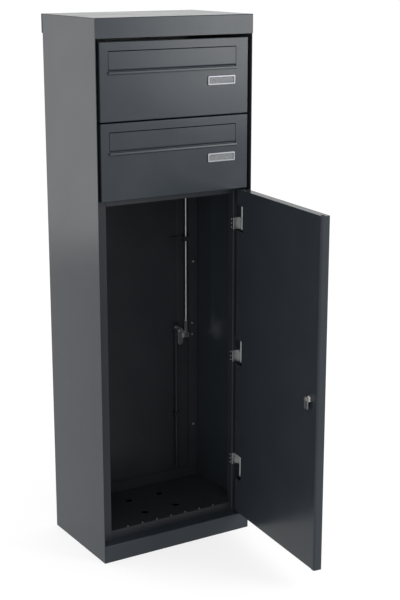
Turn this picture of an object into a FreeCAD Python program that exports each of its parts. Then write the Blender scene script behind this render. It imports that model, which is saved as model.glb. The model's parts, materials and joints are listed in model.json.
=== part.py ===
import FreeCAD, Part
import math
import os
from FreeCAD import Vector

os.makedirs("parts", exist_ok=True)

# Frame: origin on the floor at the centre of the cabinet's footprint, front towards -Y, +Z up.
# All sizes are millimetres.

# ---- driving dimensions: cabinet ----
width = 416.0
depth = 269.0
height = 1300.0
sheet = 1.5
plinth_height = 44.0
fascia_height = 45.0
front_lip_proud = 2.2
rear_lip_proud = 5.0
face_recess = 2.0
side_gap = 9.2
face_gap = 3.2
plinth_gap = 3.7
roof_gap = 7.9
bend_radius = 2.0

# ---- driving dimensions: parcel opening and frame ----
jamb_setback = 26.5
jamb_width = 32.0
jamb_return = 21.7
sill_height = 22.0
header_height = 13.5
sill_setback = 30.4
stile_setback = 25.0
stile_width = 28.8
stile_foot = 20.0
rail_height = 24.5
bottom_rail_height = 48.5
module_rail_height = 12.0
web_length = 20.0
anchor_pitch_x = 90.0
anchor_pitch_y = 86.0
anchor_radius = 5.5
access_radius = 8.5
sill_rivet_count = 7
sill_rivet_pitch = 41.3
sill_rivet_inset = 6.0
sill_flange = 20.0
sill_hole_x = 82.8
sill_hole_radius = 1.6
sill_hole_drop = 11.0
rivet_radius = 2.4
rivet_head = 1.3
hinge_rivet_radius = 1.9

# ---- driving dimensions: letterbox modules ----
module_height = 177.5
box_sheet = 1.0
box_gap = 0.3
panel_flange = 12.0
flap_length = 337.0
flap_height = 49.0
flap_offset = -5.7
flap_top_margin = 21.6
flap_sheet = 1.2
flap_gap = 1.0
flap_top_gap = 1.8
flare_drop = 7.8
flare_angle = 60.0
flap_rod_radius = 1.5
flap_knuckle_wall = 1.2
flap_rod_down = 2.6
stop_height = 20.0
lug_thickness = 2.0
name_width = 75.2
name_height = 21.0
name_right_margin = 36.8
name_top_margin = 86.5
name_rim = 3.0
name_play = 0.1
name_frame_depth = 2.4
name_card = 0.6
name_window = 0.9
rail_channel_height = 24.0
rail_channel_margin = 30.0

# ---- driving dimensions: front parcel door ----
door_thickness = 21.5
door_lip = 12.0
liner_recess = 0.8
hinge_inset = 7.5
hinge_height = 30.0
lowest_hinge_rise = 123.0
middle_hinge_drop = 21.9
highest_hinge_drop = 102.1
barrel_radius = 3.5
hinge_pin_radius = 2.0
running_gap = 0.05
knuckle_gap = 0.6
hinge_web = 3.0
leaf_thickness = 2.0
leaf_width = 22.5
foot_width = 20.0
notch_margin = 2.0
door_open_angle = 85.0

# ---- driving dimensions: locks ----
front_lock_inset = 34.0
front_lock_drop = 6.7
rear_lock_inset = 47.3
rear_lock_rise = 10.8
lock_radius = 8.0
lock_gap = 0.1
escutcheon_radius = 11.5
escutcheon_depth = 2.5
plug_proud = 2.0
plug_radius = 5.0
key_slot_width = 1.4
key_slot_length = 7.0
key_slot_depth = 3.0
nut_flats = 17.0
nut_depth = 4.5
cam_thickness = 2.5
cam_width = 15.0
cam_length = 23.0
rear_cam_length = 38.0
cam_setback = 8.0
cam_gap = 0.3
cam_screw_radius = 4.0
cam_screw_depth = 2.0
cross_length = 5.0
cross_width = 0.8
cross_depth = 0.8
keeper_slot_above = 12.0
keeper_slot_below = 27.0

# ---- driving dimensions: rear doors and three-point lock ----
rear_door_depth = 18.0
rear_hinge_inset = 7.3
pivot_pin_radius = 2.5
pivot_engage = 8.0
rear_liner_sheet = 1.2
band_width = 24.5
band_shift = 8.3
rear_band_rise = 1.0
rotor_gap = 1.5
rotor_crank = 18.0
rotor_thickness = 3.0
rotor_arm_width = 12.0
tongue_reach = 38.0
crank_pin_radius = 2.5
crank_pin_head = 1.4
yoke_thickness = 3.0
yoke_wall = 3.0
yoke_play = 0.8
rod_radius = 3.0
rod_layer_gap = 0.4
rod_end_gap = 4.0
rod_stem_width = 8.0
guide_wall = 2.0
guide_height = 12.0
guide_width = 48.0
guide_play = 0.3
lower_guide_rise = 153.5
upper_guide_drop = 134.0
strike_thickness = 1.2
strike_width = 16.0
strike_height = 46.0
strike_inset = 2.0
screw_radius = 3.0
screw_rise = 1.2
screw_rounding = 0.4
strike_screw_radius = 2.4
stile_screw_inset = 14.3
stile_screw_rise = 181.5
stile_screw_drop = 267.5

# ---- modelling ----
past = 1.0          # how far a cutter runs past the face it opens
same_place = 0.01   # two points closer than this are one

# ---- derived planes ----
x_out = width / 2
x_in = x_out - sheet
y_front = -depth / 2
y_back = depth / 2
y_face = y_front + face_recess
y_rear_face = y_back - face_recess
x_face = x_in - side_gap
y_jamb = y_front + jamb_setback
y_jamb_end = y_jamb + jamb_return
x_open = x_in - jamb_width
y_stile = y_back - stile_setback
y_stile_back = y_stile + sheet
x_stile = x_in - stile_width
z_roof = height - sheet
module_stack = 2 * module_height + 2 * face_gap
door_height = height - fascia_height - roof_gap - module_stack - plinth_height - plinth_gap
door_bottom = plinth_height + plinth_gap
door_top = door_bottom + door_height
module_bottoms = (door_top + face_gap, door_top + 2 * face_gap + module_height)
modules_top = module_bottoms[1] + module_height
z_sill = plinth_height + sill_height
z_ceiling = door_top + (face_gap - sheet) / 2
z_floor = z_sill - sheet
y_sill = y_front + sill_setback

hinge_levels = (
    door_bottom + lowest_hinge_rise,
    (door_bottom + door_top) / 2 - middle_hinge_drop,
    door_top - highest_hinge_drop,
)
hinge_x = x_face - hinge_inset
hinge_y = y_face + hinge_inset
door_inner = y_face + door_thickness
liner_face = door_inner - liner_recess
front_lock_x = -x_face + front_lock_inset
front_lock_z = (door_bottom + door_top) / 2 - front_lock_drop

rear_hinge_x = -x_face + rear_hinge_inset
rear_hinge_y = y_rear_face - rear_hinge_inset
rear_inner = y_rear_face - rear_door_depth
rear_band_face = rear_inner - rear_band_rise
rear_lock_x = x_face - rear_lock_inset
rear_lock_z = (door_bottom + door_top) / 2 + rear_lock_rise


# ---- shape helpers ----
def block(x0, x1, y0, y1, z0, z1):
    """Box between two corners."""
    return Part.makeBox(x1 - x0, y1 - y0, z1 - z0, Vector(x0, y0, z0))


def rod_z(x, y, z0, z1, radius):
    """Upright cylinder."""
    return Part.makeCylinder(radius, z1 - z0, Vector(x, y, z0), Vector(0, 0, 1))


def rod_y(x, z, y0, y1, radius):
    """Cylinder along Y."""
    return Part.makeCylinder(radius, y1 - y0, Vector(x, y0, z), Vector(0, 1, 0))


def rod_x(y, z, x0, x1, radius):
    """Cylinder along X."""
    return Part.makeCylinder(radius, x1 - x0, Vector(x0, y, z), Vector(1, 0, 0))


def face_from(points):
    """Flat face inside a closed line through the points."""
    corners = [Vector(*point) for point in points]
    return Part.Face(Part.makePolygon(corners + [corners[0]]))


def prism_z(outline, z0, z1):
    """XY outline carried up Z."""
    return face_from([(x, y, z0) for x, y in outline]).extrude(Vector(0, 0, z1 - z0))


def prism_x(outline, x0, x1):
    """YZ outline carried along X."""
    return face_from([(x0, y, z) for y, z in outline]).extrude(Vector(x1 - x0, 0, 0))


def prism_y(outline, y0, y1):
    """XZ outline carried along Y."""
    return face_from([(x, y0, z) for x, z in outline]).extrude(Vector(0, y1 - y0, 0))


def join(solids):
    """One solid from touching solids."""
    return solids[0].multiFuse(solids[1:]).removeSplitter()


def round_edges(shape, radius, chosen):
    """Fillet the edges that the test picks."""
    edges = [edge for edge in shape.Edges if chosen(edge)]
    return shape.makeFillet(radius, edges)


def upright_at(points):
    """Test for upright edges that stand at the given XY places."""
    def chosen(edge):
        box = edge.BoundBox
        upright = box.XLength < same_place and box.YLength < same_place and box.ZLength > past
        return upright and any(math.hypot(box.XMin - x, box.YMin - y) < same_place for x, y in points)
    return chosen


def along_x_at(points):
    """Test for edges along X that lie at the given YZ places."""
    def chosen(edge):
        box = edge.BoundBox
        level = box.YLength < same_place and box.ZLength < same_place and box.XLength > past
        return level and any(math.hypot(box.YMin - y, box.ZMin - z) < same_place for y, z in points)
    return chosen


def mirror_x(shape):
    """Copy on the other side of the cabinet."""
    return shape.mirror(Vector(0, 0, 0), Vector(1, 0, 0))


def hexagon(x, z, flats):
    """Corners of a hexagon in XZ, given the size across its flats."""
    corner = flats / math.sqrt(3)
    angles = [math.radians(60 * step + 30) for step in range(6)]
    return [(x + corner * math.cos(a), z + corner * math.sin(a)) for a in angles]


def slot_y(x0, x1, z0, z1, y0, y1):
    """Slot along Y with half-round ends, in its longer direction."""
    if x1 - x0 >= z1 - z0:
        radius = (z1 - z0) / 2
        middle = (z0 + z1) / 2
        ends = [(x0 + radius, middle), (x1 - radius, middle)]
        core = block(x0 + radius, x1 - radius, y0, y1, z0, z1)
    else:
        radius = (x1 - x0) / 2
        middle = (x0 + x1) / 2
        ends = [(middle, z0 + radius), (middle, z1 - radius)]
        core = block(x0, x1, y0, y1, z0 + radius, z1 - radius)
    return join([core] + [rod_y(x, z, y0, y1, radius) for x, z in ends])


def dome(centre, direction, radius, rise):
    """Low round rivet head standing on a face."""
    ball_radius = (radius ** 2 + rise ** 2) / (2 * rise)
    axis = Vector(*direction)
    base = Vector(*centre)
    ball = Part.makeSphere(ball_radius, base - axis * (ball_radius - rise))
    keep = Part.makeCylinder(ball_radius, rise, base, axis)
    return ball.common(keep)


# ---- cabinet shell ----
def side_panel():
    """Right side: flat sheet that stands on the floor, under the roof."""
    return block(x_in, x_out, y_front, y_back, 0, z_roof)


def roof_cap():
    """Folded lid with a deep front fascia, a rear lip and rounded bends."""
    lip_front = y_front - front_lip_proud
    lip_back = y_back + rear_lip_proud
    lip_bottom = height - fascia_height
    top = block(-x_out, x_out, lip_front, lip_back, z_roof, height)
    fascia = block(-x_out, x_out, lip_front, lip_front + sheet, lip_bottom, z_roof)
    rear = block(-x_out, x_out, lip_back - sheet, lip_back, lip_bottom, z_roof)
    lid = join([top, fascia, rear])
    bends = [(lip_front, height), (lip_back, height)]
    return round_edges(lid, bend_radius, along_x_at(bends))


def front_plinth():
    """Folded kick plate: front face, with a ledge on top that carries the jambs and the sill."""
    outline = [
        (y_front, 0), (y_front + sheet, 0), (y_front + sheet, plinth_height - sheet),
        (y_sill + sheet, plinth_height - sheet), (y_sill + sheet, plinth_height), (y_front, plinth_height),
    ]
    plate = prism_x(outline, -x_in, x_in)
    return round_edges(plate, bend_radius / 2, along_x_at([(y_front, plinth_height)]))


def rear_plinth():
    """Folded rear kick plate, with a ledge that carries the stiles."""
    inner = y_stile
    outline = [
        (y_back, 0), (y_back - sheet, 0), (y_back - sheet, plinth_height - sheet),
        (inner, plinth_height - sheet), (inner, plinth_height), (y_back, plinth_height),
    ]
    return prism_x(outline, -x_in, x_in)


def base_plate():
    """Sheet on the ground, inside the kick plates and side panels, with four anchor holes."""
    plate = block(-x_in, x_in, y_front + sheet, y_back - sheet, 0, sheet)
    return with_anchor_holes(plate, 0, anchor_radius)


def with_anchor_holes(plate, z, radius):
    """Level plate with a hole over each of the four ground anchors."""
    for side in (-1, 1):
        for end in (-1, 1):
            x = side * anchor_pitch_x / 2
            y = end * anchor_pitch_y / 2
            plate = plate.cut(rod_z(x, y, z - sheet, z + 2 * sheet, radius))
    return plate


def floor_pan():
    """Compartment floor with a spanner hole over each anchor, notched round the jambs."""
    y_pan = y_sill + sheet
    behind_jambs = y_jamb_end + box_gap
    outline = [
        (-x_open, y_pan), (x_open, y_pan), (x_open, behind_jambs), (x_in, behind_jambs),
        (x_in, y_stile), (-x_in, y_stile), (-x_in, behind_jambs), (-x_open, behind_jambs),
    ]
    pan = prism_z(outline, z_floor - sheet, z_floor)
    pan = with_anchor_holes(pan, z_floor - sheet, access_radius)
    for x in rivet_places():
        pan = pan.cut(rod_z(x, rivet_line(), z_floor - 2 * sheet, z_floor + sheet, rivet_radius / 2))
    return pan


def rivet_places():
    """X places of the sill rivets."""
    half = (sill_rivet_count - 1) / 2
    return [(index - half) * sill_rivet_pitch for index in range(sill_rivet_count)]


def rivet_line():
    """Y place of the sill rivets."""
    return y_sill + sill_rivet_inset


def front_sill():
    """Step behind the door: upright face, flange riveted on the floor pan."""
    outline = [
        (y_sill, plinth_height), (y_sill + sheet, plinth_height), (y_sill + sheet, z_floor),
        (y_sill + sill_flange, z_floor), (y_sill + sill_flange, z_sill), (y_sill, z_sill),
    ]
    sill = prism_x(outline, -x_open, x_open)
    sill = round_edges(sill, bend_radius / 2, along_x_at([(y_sill, z_sill)]))
    for side in (-1, 1):
        z = z_sill - sill_hole_drop
        sill = sill.cut(rod_y(side * sill_hole_x, z, y_sill - sheet, y_sill + 2 * sheet, sill_hole_radius))
    for x in rivet_places():
        sill = sill.cut(rod_z(x, rivet_line(), z_floor - sheet, z_sill + sheet, rivet_radius / 2))
    return sill


def sill_rivets():
    """Blind rivets through the sill and the floor pan."""
    rivets = []
    for x in rivet_places():
        head = dome((x, rivet_line(), z_sill), (0, 0, 1), rivet_radius, rivet_head)
        shank = rod_z(x, rivet_line(), z_floor - sheet - rivet_head, z_sill, rivet_radius / 2)
        rivets.append(join([shank, head]))
    return rivets


def jamb():
    """Right jamb: channel with a front flange and a return along the opening."""
    outline = [
        (x_open, y_jamb), (x_in, y_jamb), (x_in, y_jamb_end), (x_in - sheet, y_jamb_end),
        (x_in - sheet, y_jamb + sheet), (x_open + sheet, y_jamb + sheet),
        (x_open + sheet, y_jamb_end), (x_open, y_jamb_end),
    ]
    post = prism_z(outline, plinth_height, z_ceiling)
    return round_edges(post, bend_radius / 2, upright_at([(x_open, y_jamb)]))


def keeper_slot():
    """Window in the left jamb's return that takes the lock's cam."""
    y0 = front_cam_plane() - cam_thickness
    y1 = front_cam_plane() + 2 * cam_thickness
    z0 = front_lock_z - keeper_slot_below
    z1 = front_lock_z + keeper_slot_above
    return block(-x_open - 2 * sheet, -x_open + sheet, y0, y1, z0, z1)


def header_rail():
    """Rail over the parcel opening."""
    z0 = z_ceiling - header_height
    outline = [
        (y_jamb, z0), (y_jamb_end, z0), (y_jamb_end, z0 + sheet), (y_jamb + sheet, z0 + sheet),
        (y_jamb + sheet, z_ceiling), (y_jamb, z_ceiling),
    ]
    return prism_x(outline, -x_open, x_open)


def compartment_ceiling():
    """Shelf sheet that closes the parcel compartment and carries the letterboxes."""
    return block(-x_in, x_in, y_jamb, y_stile, z_ceiling, z_ceiling + sheet)


def rear_stile():
    """Right rear stile: flange across the opening, foot along the side panel."""
    y_foot = y_stile_back + stile_foot
    outline = [
        (x_stile, y_stile), (x_in, y_stile), (x_in, y_foot), (x_in - sheet, y_foot),
        (x_in - sheet, y_stile_back), (x_stile, y_stile_back),
    ]
    return prism_z(outline, plinth_height, z_roof)


def rear_web(z0):
    """Flat web of a rear rail, between two rear doors."""
    y_end = y_stile_back + web_length
    x_wide = x_in - sheet
    outline = [
        (-x_stile, y_stile), (x_stile, y_stile), (x_stile, y_stile_back), (x_wide, y_stile_back),
        (x_wide, y_end), (-x_wide, y_end), (-x_wide, y_stile_back), (-x_stile, y_stile_back),
    ]
    return prism_z(outline, z0, z0 + sheet)


def rear_rail(web_z, flange_height):
    """Rear rail: web with a flange that goes up (positive) or down (negative)."""
    if flange_height > 0:
        flange = block(-x_stile, x_stile, y_stile, y_stile_back, web_z, web_z + flange_height)
    else:
        flange = block(-x_stile, x_stile, y_stile, y_stile_back, web_z + flange_height, web_z + sheet)
    return join([rear_web(web_z), flange])


def rear_levels():
    """Undersides of the four rear webs: bottom, middle, module and top."""
    between = (face_gap - sheet) / 2
    module_web = module_bottoms[1] - face_gap + between
    return (plinth_height, door_top + between, module_web, modules_top + between)


def pivot_pins():
    """Pins riveted in the rear webs; the rear doors turn on them."""
    bottom, middle, module, top = rear_levels()
    lower_reach = door_bottom + pivot_engage
    pins = [rod_z(rear_hinge_x, rear_hinge_y, bottom + sheet, lower_reach, pivot_pin_radius)]
    for web in (middle, module):
        for start, end in ((web - pivot_engage, web), (web + sheet, web + sheet + pivot_engage)):
            pins.append(rod_z(rear_hinge_x, rear_hinge_y, start, end, pivot_pin_radius))
    pins.append(rod_z(rear_hinge_x, rear_hinge_y, top - pivot_engage, top, pivot_pin_radius))
    return pins


# ---- letterbox modules ----
def box_shell(z0):
    """Folded letterbox body: floor and two walls in one sheet, open to front and rear."""
    x1 = x_face - sheet - box_gap
    zb = z0 + sheet + box_gap
    zt = z0 + module_height - sheet - box_gap - box_sheet
    outline = [
        (-x1, zb), (x1, zb), (x1, zt), (x1 - box_sheet, zt), (x1 - box_sheet, zb + box_sheet),
        (box_sheet - x1, zb + box_sheet), (box_sheet - x1, zt), (-x1, zt),
    ]
    return prism_y(outline, y_face + sheet + box_gap + rod_room(), y_stile - box_gap)


def rod_room():
    """Depth behind a front panel that its flap's rod and lugs take up."""
    return flap_rod_radius + 2 * flap_knuckle_wall + sheet


def box_top(z0):
    """Flat lid of a letterbox body."""
    x1 = x_face - sheet - box_gap
    zt = z0 + module_height - sheet - box_gap
    return block(-x1, x1, y_face + sheet + box_gap + rod_room(), y_stile - box_gap, zt - box_sheet, zt)


def box_side_rails():
    """Channels between the letterbox bodies and the side panels."""
    rails = []
    x0 = x_face - sheet - box_gap
    for z0 in module_bottoms:
        low = z0 + module_height / 2 - rail_channel_height / 2
        high = low + rail_channel_height
        outline = [
            (x0, low), (x_in, low), (x_in, high), (x0, high), (x0, high - sheet),
            (x_in - sheet, high - sheet), (x_in - sheet, low + sheet), (x0, low + sheet),
        ]
        rail = prism_y(outline, y_jamb, y_stile - rail_channel_margin)
        rails += [rail, mirror_x(rail)]
    return rails


def flap_edges(z0):
    """Left, right, bottom and top of a closed flap."""
    top = z0 + module_height - flap_top_margin
    return (flap_offset - flap_length / 2, flap_offset + flap_length / 2, top - flap_height, top)


def flap_axis(z0):
    """YZ place of a flap's rod."""
    top = flap_edges(z0)[3]
    return (y_face + flap_rod_radius + flap_knuckle_wall + flap_sheet / 4, top - flap_rod_down)


def front_panel(z0):
    """Module front: dished sheet with the letter slot, a stop behind it and rod lugs."""
    z1 = z0 + module_height
    y_back_face = y_face + sheet
    skin = block(-x_face, x_face, y_face, y_back_face + panel_flange, z0, z1)
    hollow = block(
        sheet - x_face, x_face - sheet, y_back_face, y_back_face + 2 * panel_flange, z0 + sheet, z1 - sheet
    )
    corners = [(-x_face, y_face), (x_face, y_face)]
    pan = round_edges(skin, bend_radius / 2, upright_at(corners)).cut(hollow)
    left, right, bottom, top = flap_edges(z0)
    slot = block(
        left - flap_gap, right + flap_gap, y_face - sheet, y_back_face + sheet,
        bottom - flap_gap, top + flap_top_gap,
    )
    y_rod, z_rod = flap_axis(z0)
    stop = block(
        left - 2 * flap_gap, right + 2 * flap_gap, y_back_face, y_back_face + sheet,
        bottom - flap_gap - stop_height / 2, bottom + stop_height / 2,
    )
    lugs = []
    for x0 in (left - flap_gap - lug_thickness, right + flap_gap):
        y1 = y_rod + flap_rod_radius + 2 * flap_knuckle_wall
        low = z_rod - 2 * lug_thickness
        lug = block(x0, x0 + lug_thickness, y_back_face, y1, low, top + 2 * flap_top_gap)
        lugs.append(lug)
    panel = join([pan.cut(slot), stop] + lugs)
    bore = rod_x(y_rod, z_rod, left - flap_length, right + flap_length, flap_rod_radius + running_gap)
    reach = block(
        left - 3 * lug_thickness, right + 3 * lug_thickness, y_face, y_rod + 3 * flap_rod_radius,
        bottom, z0 + module_height - sheet,
    )
    return panel.cut(bore.common(reach))


def flap(z0):
    """Letter flap: flat plate, flared finger lip below, eye rolled round the rod above."""
    left, right, bottom, top = flap_edges(z0)
    y_rod, z_rod = flap_axis(z0)
    radius = flare_drop / math.sin(math.radians(flare_angle))
    y_centre = y_face - radius
    z_centre = bottom + flare_drop
    turn = math.radians(flare_angle)
    outer_start = Vector(left, y_face, z_centre)
    outer_mid = Vector(left, y_centre + radius * math.cos(turn / 2), z_centre - radius * math.sin(turn / 2))
    outer_end = Vector(left, y_centre + radius * math.cos(turn), z_centre - radius * math.sin(turn))
    thick = radius + flap_sheet
    inner_start = Vector(left, y_face + flap_sheet, z_centre)
    inner_mid = Vector(left, y_centre + thick * math.cos(turn / 2), z_centre - thick * math.sin(turn / 2))
    inner_end = Vector(left, y_centre + thick * math.cos(turn), z_centre - thick * math.sin(turn))
    front_top = Vector(left, y_face, top)
    back_top = Vector(left, y_face + flap_sheet, top)
    edges = [
        Part.LineSegment(front_top, outer_start).toShape(),
        Part.Arc(outer_start, outer_mid, outer_end).toShape(),
        Part.LineSegment(outer_end, inner_end).toShape(),
        Part.Arc(inner_end, inner_mid, inner_start).toShape(),
        Part.LineSegment(inner_start, back_top).toShape(),
        Part.LineSegment(back_top, front_top).toShape(),
    ]
    plate = Part.Face(Part.Wire(edges)).extrude(Vector(right - left, 0, 0))
    eye = rod_x(y_rod, z_rod, left, right, flap_rod_radius + flap_knuckle_wall)
    bore = rod_x(y_rod, z_rod, left - past, right + past, flap_rod_radius + running_gap)
    return join([plate, eye]).cut(bore)


def flap_rod(z0):
    """Steel rod through the flap's eye and the panel's lugs."""
    left, right = flap_edges(z0)[:2]
    y_rod, z_rod = flap_axis(z0)
    over = flap_gap + lug_thickness + past
    return rod_x(y_rod, z_rod, left - over, right + over, flap_rod_radius)


def name_edges(z0):
    """Left, right, bottom and top of a name plate."""
    right = x_face - name_right_margin
    top = z0 + module_height - name_top_margin
    return (right - name_width, right, top - name_height, top)


def name_frame(z0):
    """Rim that holds the name card and its window on the panel."""
    left, right, bottom, top = name_edges(z0)
    rim = block(left, right, y_face - name_frame_depth, y_face, bottom, top)
    opening = block(
        left + name_rim, right - name_rim, y_face - 2 * name_frame_depth, y_face - name_card - name_window,
        bottom + name_rim, top - name_rim,
    )
    pocket = block(
        left + name_rim / 2, right - name_rim / 2, y_face - name_card - name_window, y_face,
        bottom + name_rim / 2, top - name_rim / 2,
    )
    return rim.cut(opening).cut(pocket)


def name_layer(z0, near, far):
    """Sheet in the name frame's pocket, between two heights above the panel."""
    left, right, bottom, top = name_edges(z0)
    play = name_rim / 2 + name_play
    return block(left + play, right - play, y_face - far, y_face - near, bottom + play, top - play)


# ---- cam locks ----
def front_cam_plane():
    """Y of the front lock's cam face that touches the plug."""
    return door_inner + cam_setback


def rear_cam_plane():
    """Y of the rear cams' faces that touch their plugs."""
    return rear_inner - cam_setback


def between(y0, y1):
    """Ordered pair."""
    return (min(y0, y1), max(y0, y1))


def lock_housing(x, z, face, inner_end, outward):
    """Round lock body with an escutcheon; outward is -1 for the front, 1 for the rear."""
    head_end = face + outward * escutcheon_depth
    body = rod_y(x, z, *between(face, inner_end), lock_radius)
    head = rod_y(x, z, *between(face, head_end), escutcheon_radius)
    rim = round_edges(head, escutcheon_depth / 2, lambda edge: abs(edge.BoundBox.YMin - head_end) < same_place
                      and edge.BoundBox.YLength < same_place)
    bore = rod_y(x, z, *between(head_end + outward, inner_end - outward), plug_radius + running_gap)
    return join([body, rim]).cut(bore)


def lock_plug(x, z, face, inner_end, outward):
    """Turning plug with a key slot in its outer end."""
    outer_end = face + outward * plug_proud
    plug = rod_y(x, z, *between(outer_end, inner_end), plug_radius)
    slot_end = outer_end - outward * key_slot_depth
    y0, y1 = between(outer_end + outward, slot_end)
    half_width = key_slot_width / 2
    half_length = key_slot_length / 2
    return plug.cut(block(x - half_width, x + half_width, y0, y1, z - half_length, z + half_length))


def lock_nut(x, z, seat, inward):
    """Hexagon nut that clamps the lock body on a sheet."""
    y0, y1 = between(seat, seat + inward * nut_depth)
    nut = prism_y(hexagon(x, z, nut_flats), y0, y1)
    return nut.cut(rod_y(x, z, y0 - past, y1 + past, lock_radius))


def lock_cam(x, z, plane, inward, length):
    """Cam that hangs down from the plug while unlocked."""
    y0, y1 = between(plane, plane + inward * cam_thickness)
    half = cam_width / 2
    hub = rod_y(x, z, y0, y1, half)
    blade = block(x - half, x + half, y0, y1, z - length, z)
    cam = join([hub, blade])
    return round_edges(cam, half / 3, lambda edge: abs(edge.BoundBox.ZMin - (z - length)) < same_place
                       and edge.BoundBox.YLength > cam_thickness / 2
                       and edge.BoundBox.XLength < same_place)


def cam_screw(x, z, plane, inward, stack=cam_thickness):
    """Cross-head screw that holds a cam or rotor of the given thickness on its plug."""
    y0, y1 = between(plane + inward * stack, plane + inward * (stack + cam_screw_depth))
    head = rod_y(x, z, y0, y1, cam_screw_radius)
    outer = y1 if inward > 0 else y0
    cut0, cut1 = between(outer - inward * cross_depth, outer + inward * past)
    long_half = cross_length / 2
    thin_half = cross_width / 2
    for half_x, half_z in ((long_half, thin_half), (thin_half, long_half)):
        head = head.cut(block(x - half_x, x + half_x, cut0, cut1, z - half_z, z + half_z))
    return head


# ---- front parcel door, modelled closed ----
def door_skin():
    """Outer pan of the door: side lips full height, notched at the hinges."""
    seam = (y_face + door_inner) / 2
    pan = block(-x_face, x_face, y_face, door_inner, door_bottom, door_top)
    corners = [(side * x_face, y) for side in (-1, 1) for y in (y_face, door_inner)]
    pan = round_edges(pan, bend_radius, upright_at(corners))
    pan = pan.cut(block(
        sheet - x_face, x_face - sheet, y_face + sheet, door_inner - sheet,
        door_bottom + sheet, door_top - sheet,
    ))
    x_lip = x_face - door_lip
    pan = pan.cut(block(-x_lip, x_lip, seam, door_inner + past, door_bottom - past, door_top + past))
    for level in hinge_levels:
        low, high = hinge_span(level)
        notch = block(
            x_lip - past, x_face + past, y_face + sheet, door_inner + past,
            low - notch_margin, high + notch_margin,
        )
        pan = pan.cut(notch)
    hole = rod_y(front_lock_x, front_lock_z, y_face - past, y_face + 2 * sheet, lock_radius + lock_gap)
    return pan.cut(hole)


def door_liner():
    """Inner sheet of the door, with a flange that meets the outer pan at top and bottom."""
    seam = (y_face + door_inner) / 2 + box_gap
    x1 = x_face - door_lip - box_gap
    back = liner_face - rear_liner_sheet
    outline = [
        (seam, door_bottom), (liner_face, door_bottom), (liner_face, door_top), (seam, door_top),
        (seam, door_top - sheet), (back, door_top - sheet), (back, door_bottom + sheet),
        (seam, door_bottom + sheet),
    ]
    liner = prism_x(outline, -x1, x1)
    bends = [(liner_face, door_bottom), (liner_face, door_top)]
    liner = round_edges(liner, rear_liner_sheet, along_x_at(bends))
    hole = rod_y(front_lock_x, front_lock_z, back - past, liner_face + past, lock_radius + lock_gap)
    return liner.cut(hole)


def hinge_span(level):
    """Lowest and highest Z of a hinge's two knuckles; the lowest hinge is turned over."""
    if level == hinge_levels[0]:
        return (level - knuckle_gap - hinge_height, level + hinge_height)
    return (level, level + 2 * hinge_height + knuckle_gap)


def door_knuckle_span(level):
    """Lowest and highest Z of a hinge's door knuckle."""
    low, high = hinge_span(level)
    if level == hinge_levels[0]:
        return (low, low + hinge_height)
    return (high - hinge_height, high)


def frame_leaf(level):
    """Hinge leaf on the jamb: plate, arm and knuckle."""
    z0 = level
    z1 = level + hinge_height
    plate = block(x_open, x_open + leaf_width, y_jamb - leaf_thickness, y_jamb, z0, z1)
    half = hinge_web / 2
    arm = block(hinge_x - half, hinge_x + half, hinge_y, y_jamb, z0, z1)
    knuckle = rod_z(hinge_x, hinge_y, z0, z1, barrel_radius)
    leaf = join([plate, arm, knuckle])
    return leaf.cut(rod_z(hinge_x, hinge_y, z0 - past, z1 + past, hinge_pin_radius + running_gap))


def door_leaf(level):
    """Hinge leaf on the door: foot on the outer sheet, web and knuckle."""
    z0, z1 = door_knuckle_span(level)
    half = hinge_web / 2
    y_foot = y_face + sheet
    foot = block(hinge_x + half - foot_width, hinge_x + half, y_foot, y_foot + leaf_thickness, z0, z1)
    web = block(hinge_x - half, hinge_x + half, y_foot, hinge_y, z0, z1)
    knuckle = rod_z(hinge_x, hinge_y, z0, z1, barrel_radius)
    leaf = join([foot, web, knuckle])
    return leaf.cut(rod_z(hinge_x, hinge_y, z0 - past, z1 + past, hinge_pin_radius + running_gap))


def hinge_pin(level):
    """Headed hinge pin through both knuckles."""
    low, high = hinge_span(level)
    shank = rod_z(hinge_x, hinge_y, low - knuckle_gap, high + knuckle_gap / 2, hinge_pin_radius)
    head_low = high + knuckle_gap / 2
    head = rod_z(hinge_x, hinge_y, head_low, head_low + rivet_head, barrel_radius - knuckle_gap / 2)
    return join([shank, head])


def hinge_rivets():
    """Three rivets per hinge in the jamb's return."""
    rivets = []
    for level in hinge_levels:
        for step in (1, 3, 5):
            z = level + step * hinge_height / 6
            y = y_jamb + jamb_return / 3
            rivets.append(dome((x_open, y, z), (-1, 0, 0), hinge_rivet_radius, rivet_head))
    return rivets


def opened(shape):
    """Closed-door shape turned to the door's rest position."""
    turned = shape.copy()
    turned.rotate(Vector(hinge_x, hinge_y, 0), Vector(0, 0, 1), door_open_angle)
    return turned


# ---- rear doors ----
def rear_pan(z0, z1):
    """Rear door pan with flanges all round and holes for its pivot pins."""
    pan = block(-x_face, x_face, rear_inner, y_rear_face, z0, z1)
    corners = [(side * x_face, y_rear_face) for side in (-1, 1)]
    pan = round_edges(pan, bend_radius, upright_at(corners))
    pan = pan.cut(block(
        sheet - x_face, x_face - sheet, rear_inner - past, y_rear_face - sheet, z0 + sheet, z1 - sheet
    ))
    return pan.cut(rod_z(rear_hinge_x, rear_hinge_y, z0 - past, z1 + past, pivot_pin_radius + running_gap))


def rear_lock_hole(z):
    """Hole for a rear lock body through a rear door."""
    return rod_y(rear_lock_x, z, rear_inner - sheet, y_rear_face + past, lock_radius + lock_gap)


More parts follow.
